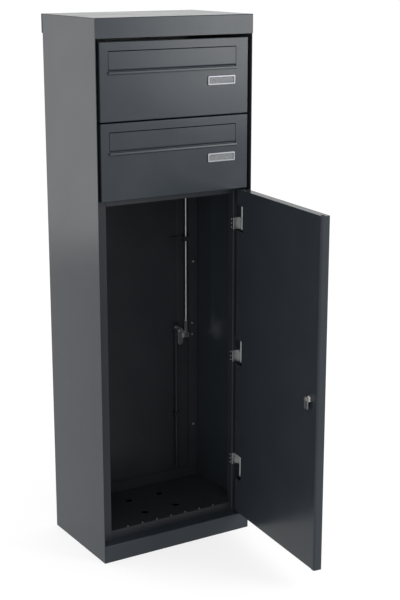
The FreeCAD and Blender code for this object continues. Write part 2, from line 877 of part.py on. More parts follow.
def rear_liner():
    """Inner sheet of the rear parcel door, with a raised band behind the rods."""
    x1 = x_face - sheet - box_gap
    z0 = door_bottom + sheet + box_gap
    z1 = door_top - sheet - box_gap
    sheet_back = rear_inner + rear_liner_sheet
    plate = block(-x1, x1, rear_inner, sheet_back, z0, z1)
    x_band = rear_lock_x + band_shift - band_width / 2
    band = block(x_band, x_band + band_width, rear_band_face, rear_inner, z0, z1)
    pin_room = pivot_pin_radius + past
    liner = join([plate, band]).cut(rear_lock_hole(rear_lock_z))
    return liner.cut(rod_z(rear_hinge_x, rear_hinge_y, z0 - past, z1 + past, pin_room))


# ---- three-point lock on the rear parcel door ----
rotor_back = rear_band_face - nut_depth - rotor_gap
rotor_front = rotor_back - rotor_thickness
yoke_back = rotor_front - rod_layer_gap
yoke_front = yoke_back - yoke_thickness
rod_axis_y = (yoke_back + yoke_front) / 2
half_turn = math.radians(45)
crank_near = rotor_crank * math.cos(half_turn)
slot_middle = (rotor_crank + crank_near) / 2
slot_half_length = (rotor_crank - crank_near) / 2 + crank_pin_radius + yoke_play
slot_half_height = crank_pin_radius + yoke_play
stem_reach = rotor_crank + rotor_arm_width


def rotor():
    """Lock rotor: two crank arms and the tongue, which hangs down while unlocked."""
    half = rotor_arm_width / 2
    y0, y1 = rotor_front, rotor_back
    x, z = rear_lock_x, rear_lock_z
    hub = rod_y(x, z, y0, y1, lock_radius)
    arms = block(x - rotor_crank, x + rotor_crank, y0, y1, z - half, z + half)
    arms = join([arms] + [rod_y(x + side * rotor_crank, z, y0, y1, half) for side in (-1, 1)])
    arms.rotate(Vector(x, 0, z), Vector(0, 1, 0), 45)
    tongue_half = cam_width / 2
    tongue = block(x - tongue_half, x + tongue_half, y0, y1, z - tongue_reach + tongue_half, z)
    tip = rod_y(x, z - tongue_reach + tongue_half, y0, y1, tongue_half)
    return join([hub, arms, tongue, tip])


def crank_pins():
    """Headed pins on the rotor's arms that drive the two rods."""
    pins = []
    for side in (-1, 1):
        px = rear_lock_x + side * crank_near
        pz = rear_lock_z - side * crank_near
        head_end = yoke_front - rod_layer_gap
        shank = rod_y(px, pz, head_end, rotor_front, crank_pin_radius)
        head = rod_y(px, pz, head_end - crank_pin_head, head_end, crank_pin_radius + yoke_wall / 2)
        pins.append(join([shank, head]))
    return pins


def lock_rod(side, tip_z):
    """Rod with a slotted yoke; side 1 is the upper rod on the right, -1 the lower on the left."""
    x = rear_lock_x + side * slot_middle
    z = rear_lock_z - side * crank_near
    half_width = slot_half_length + yoke_wall
    half_height = slot_half_height + yoke_wall
    yoke = block(x - half_width, x + half_width, yoke_front, yoke_back, z - half_height, z + half_height)
    stem_end = rear_lock_z + side * stem_reach
    half_stem = rod_stem_width / 2
    stem = block(x - half_stem, x + half_stem, yoke_front, yoke_back, *between(z, stem_end))
    shaft = rod_z(x, rod_axis_y, *between(stem_end - side * half_stem, tip_z), rod_radius)
    slot = slot_y(
        x - slot_half_length, x + slot_half_length, z - slot_half_height, z + slot_half_height,
        yoke_front - past, yoke_back + past,
    )
    return join([yoke, stem, shaft]).cut(slot)


def rod_tip(side):
    """Z of a rod's tip at rest, just clear of the rear rail that it will pass behind."""
    bottom, middle = rear_levels()[:2]
    if side > 0:
        return middle - rail_height - rod_end_gap
    return bottom + bottom_rail_height + rod_end_gap


def rod_guides():
    """Two brackets on the rear door that keep the rods upright."""
    guides = []
    levels = (rod_tip(-1) + lower_guide_rise, rod_tip(1) - upper_guide_drop)
    for side, level in zip((-1, 1), levels):
        x = rear_lock_x + side * slot_middle
        z0, z1 = level - guide_height / 2, level + guide_height / 2
        x1 = rear_lock_x + slot_middle + rod_radius + 2 * guide_wall
        base = block(x1 - guide_width, x1, rear_band_face - guide_wall, rear_band_face, z0, z1)
        half = rod_radius + 2 * guide_wall
        eye = block(x - half, x + half, rod_axis_y - half, rear_band_face, z0, z1)
        guide = join([base, eye])
        guides.append(guide.cut(rod_z(x, rod_axis_y, z0 - past, z1 + past, rod_radius + guide_play)))
    return guides


def strike_plate():
    """Wear plate on the rear stile, behind the lock's tongue when it is turned home."""
    x0 = x_stile + strike_inset
    half = strike_height / 2
    y0 = y_stile - strike_thickness
    plate = block(x0, x0 + strike_width, y0, y_stile, rear_lock_z - half, rear_lock_z + half)
    corners = [(x, z) for x in (x0, x0 + strike_width) for z in (rear_lock_z - half, rear_lock_z + half)]
    return round_edges(plate, strike_inset, lambda edge: edge.BoundBox.YLength > strike_thickness / 2 and any(
        math.hypot(edge.BoundBox.XMin - x, edge.BoundBox.ZMin - z) < same_place for x, z in corners))


def pan_screw(x, z, face, radius):
    """Round screw head with a softened rim, standing on a face that looks to the front."""
    head = rod_y(x, z, face - screw_rise, face, radius)
    return round_edges(head, screw_rounding, lambda edge: edge.BoundBox.YMax < face - same_place
                       and edge.BoundBox.YLength < same_place)


def frame_screws():
    """Pan-head screws on the rear stiles and the strike plate."""
    screws = []
    levels = (rear_lock_z - stile_screw_drop, rear_lock_z + stile_screw_rise)
    for side in (-1, 1):
        x = side * (x_stile + stile_screw_inset)
        for z in levels:
            screws.append(pan_screw(x, z, y_stile, screw_radius))
    x = x_stile + strike_inset + strike_width / 2
    for side in (-1, 1):
        z = rear_lock_z + side * strike_height / 3
        screws.append(pan_screw(x, z, y_stile - strike_thickness, strike_screw_radius))
    return screws


# ---- nodes ----
def save(node, solids):
    """Write one node's solids to its STEP file."""
    shape = solids[0] if len(solids) == 1 else Part.makeCompound(solids)
    shape.exportStep(f"parts/{node}.step")


right_panel = side_panel()
save("left_side_panel", [mirror_x(right_panel)])
save("right_side_panel", [right_panel])
save("roof_cap", [roof_cap()])
save("front_plinth", [front_plinth()])
save("rear_plinth", [rear_plinth()])
save("base_plate", [base_plate()])
save("floor_pan", [floor_pan()])
save("front_sill", [front_sill()])
save("frame_rivets", sill_rivets() + hinge_rivets())
right_jamb = jamb()
save("left_jamb", [mirror_x(right_jamb).cut(keeper_slot())])
save("right_jamb", [right_jamb])
save("header_rail", [header_rail()])
save("compartment_ceiling", [compartment_ceiling()])
right_stile = rear_stile()
save("rear_left_stile", [mirror_x(right_stile)])
save("rear_right_stile", [right_stile])
rail_names = ("rear_bottom_rail", "rear_middle_rail", "rear_module_rail", "rear_top_rail")
rail_flanges = (bottom_rail_height, -rail_height, -module_rail_height, -module_rail_height)
for rail_name, web_level, flange in zip(rail_names, rear_levels(), rail_flanges):
    save(rail_name, [rear_rail(web_level, flange)])
save("rear_pivot_pins", pivot_pins())
save("box_side_rails", box_side_rails())

for module_name, bottom_z in zip(("lower", "upper"), module_bottoms):
    save(f"{module_name}_box_shell", [box_shell(bottom_z)])
    save(f"{module_name}_box_top", [box_top(bottom_z)])
    save(f"{module_name}_front_panel", [front_panel(bottom_z)])
    save(f"{module_name}_flap", [flap(bottom_z)])
    save(f"{module_name}_name_frame", [name_frame(bottom_z)])
    lock_z = bottom_z + module_height / 2
    rear_skin = rear_pan(bottom_z, bottom_z + module_height).cut(rear_lock_hole(lock_z))
    save(f"{module_name}_rear_door", [rear_skin])
    plane = rear_cam_plane()
    housing = lock_housing(rear_lock_x, lock_z, y_rear_face, plane + cam_gap, 1)
    save(f"{module_name}_rear_lock", [housing, lock_nut(rear_lock_x, lock_z, y_rear_face - sheet, -1)])
    plug = lock_plug(rear_lock_x, lock_z, y_rear_face, plane, 1)
    save(f"{module_name}_rear_cam", [plug, lock_cam(rear_lock_x, lock_z, plane, -1, rear_cam_length)])

save("flap_rods", [flap_rod(bottom_z) for bottom_z in module_bottoms])
save("name_cards", [name_layer(bottom_z, 0, name_card) for bottom_z in module_bottoms])
window_top = name_card + name_window
save("name_windows", [name_layer(bottom_z, name_card, window_top) for bottom_z in module_bottoms])

save("hinge_frame_leaves", [frame_leaf(level) for level in hinge_levels])
save("hinge_pins", [hinge_pin(level) for level in hinge_levels])
save("hinge_door_leaves", [opened(door_leaf(level)) for level in hinge_levels])
save("parcel_door_skin", [opened(door_skin())])
save("parcel_door_liner", [opened(door_liner())])
cam_plane = front_cam_plane()
front_housing = lock_housing(front_lock_x, front_lock_z, y_face, cam_plane - cam_gap, -1)
front_nut = lock_nut(front_lock_x, front_lock_z, liner_face, 1)
save("parcel_lock", [opened(front_housing), opened(front_nut)])
save("parcel_lock_plug", [opened(lock_plug(front_lock_x, front_lock_z, y_face, cam_plane, -1))])
save("parcel_lock_cam", [opened(lock_cam(front_lock_x, front_lock_z, cam_plane, 1, cam_length))])
save("parcel_cam_screw", [opened(cam_screw(front_lock_x, front_lock_z, cam_plane, 1))])

rear_parcel_skin = rear_pan(door_bottom, door_top).cut(rear_lock_hole(rear_lock_z))
save("rear_parcel_door", [rear_parcel_skin])
save("rear_door_liner", [rear_liner()])
rear_housing = lock_housing(rear_lock_x, rear_lock_z, y_rear_face, rotor_back + cam_gap, 1)
save("rear_parcel_lock", [rear_housing, lock_nut(rear_lock_x, rear_lock_z, rear_band_face, -1)])
save("rear_parcel_lock_plug", [lock_plug(rear_lock_x, rear_lock_z, y_rear_face, rotor_back, 1)])
save("lock_rotor", [rotor()])
rotor_screw = cam_screw(rear_lock_x, rear_lock_z, rotor_back, -1, rotor_thickness)
save("rotor_fasteners", crank_pins() + [rotor_screw])
save("upper_lock_rod", [lock_rod(1, rod_tip(1))])
save("lower_lock_rod", [lock_rod(-1, rod_tip(-1))])
save("rod_guides", rod_guides())
save("strike_plate", [strike_plate()])
save("frame_screws", frame_screws())
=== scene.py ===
"""Looks of a two-letterbox, one-parcel cabinet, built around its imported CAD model."""

import json
import logging
import math
from dataclasses import dataclass
from enum import Enum
from typing import Iterable, Sequence

import bmesh
import bpy
import numpy as np
from mathutils import Euler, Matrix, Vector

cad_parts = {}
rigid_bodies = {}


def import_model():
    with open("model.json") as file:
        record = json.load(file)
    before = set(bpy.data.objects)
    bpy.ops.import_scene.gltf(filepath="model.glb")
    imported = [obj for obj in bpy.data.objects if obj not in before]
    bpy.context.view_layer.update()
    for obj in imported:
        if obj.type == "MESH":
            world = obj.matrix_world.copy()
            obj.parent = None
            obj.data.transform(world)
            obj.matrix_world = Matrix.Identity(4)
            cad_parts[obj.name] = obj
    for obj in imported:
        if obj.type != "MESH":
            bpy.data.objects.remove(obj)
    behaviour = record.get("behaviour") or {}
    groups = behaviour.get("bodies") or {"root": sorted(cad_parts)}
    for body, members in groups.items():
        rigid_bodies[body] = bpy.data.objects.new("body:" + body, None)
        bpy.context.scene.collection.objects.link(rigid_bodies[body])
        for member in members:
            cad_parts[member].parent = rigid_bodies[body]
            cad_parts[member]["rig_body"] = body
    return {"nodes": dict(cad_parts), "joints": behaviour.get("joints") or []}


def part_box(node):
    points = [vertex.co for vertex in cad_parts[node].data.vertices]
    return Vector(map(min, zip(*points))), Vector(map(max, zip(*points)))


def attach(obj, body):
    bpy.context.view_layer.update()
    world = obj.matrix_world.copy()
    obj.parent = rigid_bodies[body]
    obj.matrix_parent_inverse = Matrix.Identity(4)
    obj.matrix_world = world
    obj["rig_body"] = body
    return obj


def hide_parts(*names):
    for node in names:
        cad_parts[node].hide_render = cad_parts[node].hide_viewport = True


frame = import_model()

log = logging.getLogger("cabinet")

Array = np.ndarray
MM = 0.001          # metres in a millimetre
CABINET = "cabinet"
FRONT_DOOR = "parcel_door"
REAR_DOOR = "rear_parcel_door"


class Slot(Enum):
    """The record's material slots."""

    GREY = "grey_powder_coat"
    DARK = "dark_powder_coat"
    ZINC = "zinc_steel"
    CHROME = "chrome_lock"
    NAME_FRAME = "name_frame"
    NAME_CARD = "name_card"
    WINDOW = "clear_window"


class Axis(Enum):
    """The direction that an outline is carried in, as the number of its coordinate."""

    X = 0
    Y = 1
    Z = 2


# ---- places read from the frame ----
@dataclass(frozen=True)
class Place:
    """Lowest and highest corner of a CAD node at rest, in millimetres."""

    low: Array
    high: Array

    @classmethod
    def of(cls, node: str) -> "Place":
        """Box of one node."""
        low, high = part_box(node)
        return cls(np.array(low) / MM, np.array(high) / MM)

    @property
    def middle(self) -> Array:
        """Centre of the box."""
        return (self.low + self.high) / 2

    @property
    def size(self) -> Array:
        """Lengths of the box's sides."""
        return self.high - self.low


# ---- lines and outlines in a plane ----
def rounded(points: Sequence[Sequence[float]], radius: float | Sequence[float], closed: bool,
            steps: int = 5) -> tuple[Array, Array]:
    """Line through the points with every corner turned into an arc.

    Each corner has an incoming direction a, an outgoing one b and a turn t between them. The arc starts
    radius * tan(t / 2) before the corner; at an angle w from 0 to t its points are
    start + radius * (sin(w) a + (1 - cos(w)) n), where n is a turned a quarter towards b.

    Args:
        points: corner points in a plane.
        radius: radius of every arc, or one for each corner.
        closed: whether the last point joins the first one.
        steps: points on each arc.

    Returns:
        The line's points and its unit directions there.
    """
    corner = np.asarray(points, float)
    before = np.roll(corner, 1, 0)
    after = np.roll(corner, -1, 0)
    come = corner - before
    leave = after - corner
    middle = slice(None) if closed else slice(1, -1)
    a = (come / np.linalg.norm(come, axis=1, keepdims=True))[middle]
    b = (leave / np.linalg.norm(leave, axis=1, keepdims=True))[middle]
    cross = a[:, 0] * b[:, 1] - a[:, 1] * b[:, 0]
    turn = np.arctan2(cross, (a * b).sum(1))
    side = np.sign(turn)[:, None]
    n = np.stack([-a[:, 1], a[:, 0]], 1) * side
    w = np.abs(turn)[:, None, None] * np.linspace(0, 1, steps)[None, :, None]
    size = np.broadcast_to(np.asarray(radius, float), turn.shape)
    start = corner[middle] - a * (size * np.tan(np.abs(turn) / 2))[:, None]
    arc = start[:, None] + size[:, None, None] * (np.sin(w) * a[:, None] + (1 - np.cos(w)) * n[:, None])
    way = np.cos(w) * a[:, None] + np.sin(w) * n[:, None]
    line, ways = arc.reshape(-1, 2), way.reshape(-1, 2)
    if closed:
        return line, ways
    first = leave[0] / np.linalg.norm(leave[0])
    last = come[-1] / np.linalg.norm(come[-1])
    return np.vstack([corner[:1], line, corner[-1:]]), np.vstack([first, ways, last])


def folded(points: Sequence[Sequence[float]], sheet: float, radius: float | Sequence[float]) -> Array:
    """Closed outline of a folded strip of sheet.

    The outer face is the rounded line through the points; the inner face is each of its points moved one
    sheet thickness to the left of its direction; the two run into each other at the cut ends.

    Args:
        points: the outer face's corners, with the sheet on the left.
        sheet: thickness.
        radius: outer bend radius, or one for each bend, more than the thickness.

    Returns:
        The outline's points.
    """
    face, way = rounded(points, radius, closed=False)
    back = face + sheet * np.stack([-way[:, 1], way[:, 0]], 1)
    return np.vstack([face, back[::-1]])


def box_outline(x0: float, x1: float, y0: float, y1: float, radius: float, steps: int = 5) -> Array:
    """Rectangle between two corners with rounded corners, as points in order."""
    corners = [(x0, y0), (x1, y0), (x1, y1), (x0, y1)]
    return rounded(corners, radius, closed=True, steps=steps)[0]


def circle(radius: float, steps: int = 32) -> Array:
    """Points round a circle about the origin, at even angles."""
    angle = np.linspace(0, 2 * math.pi, steps, endpoint=False)
    return radius * np.stack([np.cos(angle), np.sin(angle)], 1)


# ---- surfaces ----
def grid_quads(rows: int, columns: int, close_rows: bool, close_columns: bool) -> Array:
    """Corner numbers of a grid's quads: each point with its neighbours one row and one column on."""
    row, column = np.meshgrid(
        np.arange(rows - (not close_rows)), np.arange(columns - (not close_columns)), indexing="ij"
    )
    next_row, next_column = (row + 1) % rows, (column + 1) % columns
    corners = [(row, column), (next_row, column), (next_row, next_column), (row, next_column)]
    return np.stack([r * columns + c for r, c in corners], -1).reshape(-1, 4)


class Skin:
    """Surfaces of one piece, gathered as arrays of points in millimetres and made into one mesh."""

    def __init__(self) -> None:
        """Starts with nothing."""
        self.points: list[Array] = []
        self.faces: list[list[int]] = []
        self.count = 0

    def surface(self, grid: Array, close_rows: bool = False, close_columns: bool = False) -> "Skin":
        """Adds a grid of points, rows by columns by three, as quads."""
        rows, columns = grid.shape[:2]
        quads = grid_quads(rows, columns, close_rows, close_columns) + self.count
        self.faces += quads.tolist()
        self._keep(grid.reshape(-1, 3))
        return self

    def lid(self, ring: Array) -> "Skin":
        """Adds one flat face inside a ring of points."""
        self.faces.append((np.arange(len(ring)) + self.count).tolist())
        self._keep(ring)
        return self

    def tube(self, rings: Array) -> "Skin":
        """Adds closed rings one after the other, with a flat lid on the first and the last."""
        self.surface(rings, close_columns=True)
        return self.lid(rings[0]).lid(rings[-1])

    def prism(self, outline: Array, axis: Axis, start: float, stop: float, soft: float = 0.0) -> "Skin":
        """Adds a plane outline carried along an axis.

        The plane holds the other two coordinates in their usual order. With a soft size the outline
        stands that far inside at both ends, so the rims are chamfered: each point moves towards the middle
        of its two neighbours' offset lines.

        Args:
            outline: closed outline, points by two.
            axis: direction in which it is carried.
            start: coordinate where it starts.
            stop: coordinate where it stops.
            soft: chamfer at both ends.

        Returns:
            This skin.
        """
        others = [number for number in range(3) if number != axis.value]
        stations = [(start, soft), (start + soft, 0.0), (stop - soft, 0.0), (stop, soft)]
        if not soft:
            stations = [(start, 0.0), (stop, 0.0)]
        rings = np.empty((len(stations), len(outline), 3))
        for ring, (along, inset) in zip(rings, stations):
            ring[:, others] = shrunk(outline, inset) if inset else outline
            ring[:, axis.value] = along
        return self.tube(rings)

    def turned(self, profile: Sequence[Sequence[float]], centre: Sequence[float], axis: Axis, sign: int = 1,
               steps: int = 32, hollow: bool = False) -> "Skin":
        """Adds a surface of revolution: the profile's radius goes round the axis at the profile's height.

        Args:
            profile: points of radius and height, from one end of the axis to the other.
            centre: point of the axis at height 0.
            axis: direction of the axis.
            sign: 1 where the height grows with the coordinate, -1 where it falls.
            steps: points round the axis.
            hollow: whether the profile is a loop, such as a pipe's wall, rather than a line with lids.

        Returns:
            This skin.
        """
        radius, height = np.asarray(profile, float).T
        others = [number for number in range(3) if number != axis.value]
        rings = np.empty((len(radius), steps, 3))
        rings[..., others] = radius[:, None, None] * circle(1.0, steps)[None]
        rings[..., axis.value] = sign * height[:, None]
        rings += np.asarray(centre, float)
        return self.surface(rings, close_rows=True, close_columns=True) if hollow else self.tube(rings)

    def swung(self, pivot: Array, degrees: float) -> "Skin":
        """Turns every surface added so far about an upright line through the pivot's XY place."""
        angle = math.radians(degrees)
        turn = np.array([[math.cos(angle), math.sin(angle)], [-math.sin(angle), math.cos(angle)]])
        for part in self.points:
            part[:, :2] = (part[:, :2] - pivot) @ turn + pivot
        return self

    def _keep(self, points: Array) -> None:
        """Stores points and counts them."""
        self.points.append(np.array(points, float))
        self.count += len(points)


def shrunk(outline: Array, inset: float) -> Array:
    """Outline moved inwards: each point goes along the mean of its two edges' inward normals."""
    edge = np.roll(outline, -1, 0) - outline
    length = np.maximum(np.linalg.norm(edge, axis=1, keepdims=True), 1e-9)
    u, v = outline.T
    area = 0.5 * np.sum(u * np.roll(v, -1) - v * np.roll(u, -1))
    normal = np.sign(area) * np.stack([-edge[:, 1], edge[:, 0]], 1) / length
    both = normal + np.roll(normal, 1, 0)
    share = np.maximum((both * both).sum(1, keepdims=True) / 2, 0.5)
    return outline + inset * both / share


def stacked(rows: Iterable[tuple[float, float, float, float, float, float]], axis: Axis = Axis.Y,
            steps: int = 5) -> Array:
    """Rounded rectangles stacked along an axis, as a grid of points.

    Args:
        rows: for each one its four edges (low and high of the first, then of the second coordinate),
            its corner radius and its place on the axis.
        axis: direction of the stack.
        steps: points on each corner.

    Returns:
        Grid of rings by points by three.
    """
    others = [number for number in range(3) if number != axis.value]
    table = list(rows)
    grid = np.empty((len(table), 4 * steps, 3))
    for ring, (a0, a1, b0, b1, radius, along) in zip(grid, table):
        ring[:, others] = box_outline(a0, a1, b0, b1, max(radius, 1e-4), steps)
        ring[:, axis.value] = along
    return grid


def inside(place: Place, inset: float, corner: float, least: float,
           y: float) -> tuple[float, float, float, float, float, float]:
    """Row for stacked: a place's XZ rectangle, inset on every side, with its corner radius less the inset."""
    low, high = place.low + inset, place.high - inset
    return low[0], high[0], low[2], high[2], max(corner - inset, least), y


def shoulder(radius: float, height: float, soft: float, steps: int) -> list[tuple[float, float]]:
    """Quarter arc from a turned part's rim to its top, as points of radius and height."""
    angles = np.linspace(0, math.pi / 2, steps)
    return [(radius - soft + soft * math.cos(a), height - soft + soft * math.sin(a)) for a in angles]


# ---- materials ----
def linear(colour: str) -> tuple[float, float, float, float]:
    """sRGB hex colour as linear red, green, blue and full opacity."""
    value = np.array([int(colour[i:i + 2], 16) for i in (1, 3, 5)]) / 255
    low, high = value / 12.92, ((value + 0.055) / 1.055) ** 2.4
    return (*np.where(value <= 0.04045, low, high).tolist(), 1.0)


def feed(made: bpy.types.Node, settings: dict | None = None, links: dict | None = None) -> None:
    """Sets a node's attributes or input sockets by name, and links output sockets to its inputs."""
    for key, value in (settings or {}).items():
        if hasattr(made, key):
            setattr(made, key, value)
        else:
            made.inputs[key].default_value = value
    for key, output in (links or {}).items():
        made.id_data.links.new(output, made.inputs[key])


def node(tree: bpy.types.NodeTree, kind: str, settings: dict | None = None, links: dict | None = None,
         stops: Sequence[tuple[float, str]] = ()) -> bpy.types.Node:
    """Adds one shader node.

    Args:
        tree: material's node tree.
        kind: node type.
        settings: values of its attributes or of its input sockets, by name.
        links: output sockets that feed its input sockets.
        stops: a colour ramp's two stops, each a place and an sRGB colour.

    Returns:
        The node.
    """
    made = tree.nodes.new(kind)
    feed(made, settings, links)
    for number, (position, colour) in enumerate(stops):
        element = made.color_ramp.elements[number]
        element.position, element.color = position, linear(colour)
    return made


NOISE = "ShaderNodeTexNoise"
RAMP = "ShaderNodeValToRGB"
BUMP = "ShaderNodeBump"
SPREAD = "ShaderNodeMapRange"
NOISE_MIDDLE = {"From Min": 0.3, "From Max": 0.7}     # where nearly all of a noise's values lie


@dataclass(frozen=True)
class Finish:
    """A procedural material with its name and main colour; each kind of finish adds its own nodes."""

    name: str
    colour: str

    def material(self) -> bpy.types.Material:
        """Builds the material from the finish's nodes, laid out in object coordinates."""
        made = bpy.data.materials.new(self.name)
        made.use_nodes = True
        tree = made.node_tree
        self.fill(tree, tree.nodes["Principled BSDF"], node(tree, "ShaderNodeTexCoord").outputs["Object"])
        return made

    def fill(self, tree: bpy.types.NodeTree, shader: bpy.types.Node, place: bpy.types.NodeSocket) -> None:
        """Adds this finish's own nodes.

        Args:
            tree: material's node tree.
            shader: its principled shader.
            place: object coordinates.
        """
        raise NotImplementedError


@dataclass(frozen=True)
class PowderCoat(Finish):
    """Polyester powder coat, sprayed on steel sheet and baked: a skin of semi-gloss plastic that has
    flowed into a fine orange peel. It gives soft, slightly broken reflections and a faint mottle."""

    mottle: str
    roughness: tuple[float, float]
    mottle_spacing: float = 90.0
    peel_spacing: float = 2.2
    peel_depth: float = 0.012
    specular: float = 0.2

    def fill(self, tree: bpy.types.NodeTree, shader: bpy.types.Node, place: bpy.types.NodeSocket) -> None:
        """Adds a slow mottle of colour and gloss, and the peel as a fine bump."""
        cloud = node(tree, NOISE, {"Scale": 1 / (self.mottle_spacing * MM), "Detail": 3.0}, {"Vector": place})
        peel = node(tree, NOISE, {"Scale": 1 / (self.peel_spacing * MM), "Detail": 2.0, "Roughness": 0.4},
                    {"Vector": place})
        amount = cloud.outputs["Fac"]
        colour = node(tree, RAMP, links={"Fac": amount}, stops=[(0.35, self.colour), (0.65, self.mottle)])
        low, high = self.roughness
        gloss = node(tree, SPREAD, {**NOISE_MIDDLE, "To Min": low, "To Max": high}, {"Value": amount})
        bump = node(tree, BUMP, {"Strength": 1.0, "Distance": self.peel_depth * MM},
                    {"Height": peel.outputs["Fac"]})
        feed(shader, {"IOR": 1.5, "Specular IOR Level": self.specular},
             {"Base Color": colour.outputs["Color"], "Roughness": gloss.outputs["Result"],
              "Normal": bump.outputs["Normal"]})


@dataclass(frozen=True)
class PlatedSteel(Finish):
    """Metal, pressed or turned and then plated or anodised: bright, with a sheen that is broken by fine
    lines from the tool and by slow cloudy changes of the plating."""

    tint: str
    roughness: tuple[float, float]
    line_spacing: float = 0.5
    line_stretch: float = 12.0
    line_depth: float = 0.004
    cloud_spacing: float = 14.0

    def fill(self, tree: bpy.types.NodeTree, shader: bpy.types.Node, place: bpy.types.NodeSocket) -> None:
        """Adds stretched lines as gloss and bump, and clouds as colour."""
        stretch = node(tree, "ShaderNodeMapping", {"Scale": (1.0, 1.0, 1.0 / self.line_stretch)},
                       {"Vector": place})
        lines = node(tree, NOISE, {"Scale": 1 / (self.line_spacing * MM), "Detail": 2.0},
                     {"Vector": stretch.outputs["Vector"]}).outputs["Fac"]
        cloud = node(tree, NOISE, {"Scale": 1 / (self.cloud_spacing * MM), "Detail": 3.0}, {"Vector": place})
        colour = node(tree, RAMP, links={"Fac": cloud.outputs["Fac"]},
                      stops=[(0.35, self.colour), (0.7, self.tint)])
        low, high = self.roughness
        gloss = node(tree, SPREAD, {**NOISE_MIDDLE, "To Min": low, "To Max": high}, {"Value": lines})
        bump = node(tree, BUMP, {"Strength": 1.0, "Distance": self.line_depth * MM}, {"Height": lines})
        feed(shader, {"Metallic": 1.0},
             {"Base Color": colour.outputs["Color"], "Roughness": gloss.outputs["Result"],
              "Normal": bump.outputs["Normal"]})


@dataclass(frozen=True)
class CardBoardInsert(Finish):
    """Uncoated card, pulped and rolled: matt and slightly fibrous, with pale flecks."""

    fleck: str
    fibre_length: float = 1.6
    fibre_height: float = 0.02

    def fill(self, tree: bpy.types.NodeTree, shader: bpy.types.Node, place: bpy.types.NodeSocket) -> None:
        """Adds the fibres as flecks and a bump."""
        fibres = node(tree, NOISE, {"Scale": 1 / (self.fibre_length * MM), "Detail": 4.0},
                      {"Vector": place}).outputs["Fac"]
        colour = node(tree, RAMP, links={"Fac": fibres}, stops=[(0.4, self.colour), (0.7, self.fleck)])
        bump = node(tree, BUMP, {"Strength": 1.0, "Distance": self.fibre_height * MM}, {"Height": fibres})
        feed(shader, {"Roughness": 0.85, "IOR": 1.47},
             {"Base Color": colour.outputs["Color"], "Normal": bump.outputs["Normal"]})


@dataclass(frozen=True)
class ClearAcrylic(Finish):
    """Acrylic sheet, cast and saw-cut: clear and glossy, with a trace of surface wave."""

    cover: float = 0.04
    specular: float = 0.12
    wave_length: float = 9.0
    wave_height: float = 0.01

    def fill(self, tree: bpy.types.NodeTree, shader: bpy.types.Node, place: bpy.types.NodeSocket) -> None:
        """Adds the wave as gloss and bump."""
        wave = node(tree, NOISE, {"Scale": 1 / (self.wave_length * MM)}, {"Vector": place}).outputs["Fac"]
        gloss = node(tree, SPREAD, {**NOISE_MIDDLE, "To Min": 0.03, "To Max": 0.08}, {"Value": wave})
        bump = node(tree, BUMP, {"Strength": 1.0, "Distance": self.wave_height * MM}, {"Height": wave})
        feed(shader, {"Base Color": linear(self.colour), "Alpha": self.cover, "IOR": 1.49,
                      "Specular IOR Level": self.specular},
             {"Roughness": gloss.outputs["Result"], "Normal": bump.outputs["Normal"]})


@dataclass(frozen=True)
class StudioFloor(Finish):
    """Studio floor of opal acrylic, cast and lit from below: matt and even, almost without shadows."""

    shade: str
    glow: float = 0.76

    def fill(self, tree: bpy.types.NodeTree, shader: bpy.types.Node, place: bpy.types.NodeSocket) -> None:
        """Adds a faint cloud of colour over an even glow."""
        cloud = node(tree, NOISE, {"Scale": 2.0}, {"Vector": place})
        colour = node(tree, RAMP, links={"Fac": cloud.outputs["Fac"]},
                      stops=[(0.3, self.colour), (0.7, self.shade)])
        feed(shader, {"Roughness": 0.9, "Specular IOR Level": 0.0,
                      "Emission Color": (1.0, 1.0, 1.0, 1.0), "Emission Strength": self.glow},
             {"Base Color": colour.outputs["Color"]})


FINISHES = {
    Slot.GREY: PowderCoat("anthracite_powder_coat", "#2a2f34", "#2c3136", (0.2, 0.25)),
    Slot.DARK: PowderCoat("dark_anthracite_powder_coat", "#25282c", "#282b2f", (0.34, 0.40)),
    Slot.ZINC: PlatedSteel("zinc_plated_steel", "#a3a6a9", "#b2b3b1", (0.28, 0.4)),
    Slot.CHROME: PlatedSteel("nickel_plated_zinc_casting", "#b9b6b0", "#c9c7c3", (0.16, 0.24),
                             line_spacing=0.3, line_stretch=3.0, line_depth=0.002),
    Slot.NAME_FRAME: PlatedSteel("satin_anodised_aluminium", "#74767a", "#808286", (0.36, 0.46),
                                 line_spacing=0.4, line_stretch=6.0),
    Slot.NAME_CARD: CardBoardInsert("grey_card_insert", "#4e5053", "#606265"),
    Slot.WINDOW: ClearAcrylic("clear_cast_acrylic", "#f4f7f8"),
}


class Wardrobe:
    """Makes each finish once and gives it to the pieces of its slot."""

    def __init__(self) -> None:
        """Builds every material."""
        self.materials = {slot: finish.material() for slot, finish in FINISHES.items()}

    def dress(self, piece: bpy.types.Object, slot: Slot) -> None:
        """Puts the slot's material on a new piece."""
        piece.data.materials.clear()
        piece.data.materials.append(self.materials[slot])

    def dress_nodes(self) -> None:
        """Puts each shown CAD node's material in its object's slots."""
        for name, part in frame["nodes"].items():
            for place in part.material_slots:
                wanted = Slot(place.material.name.split(".")[0])
                place.material = self.materials[wanted]
            log.info("dressed CAD node %s", name)


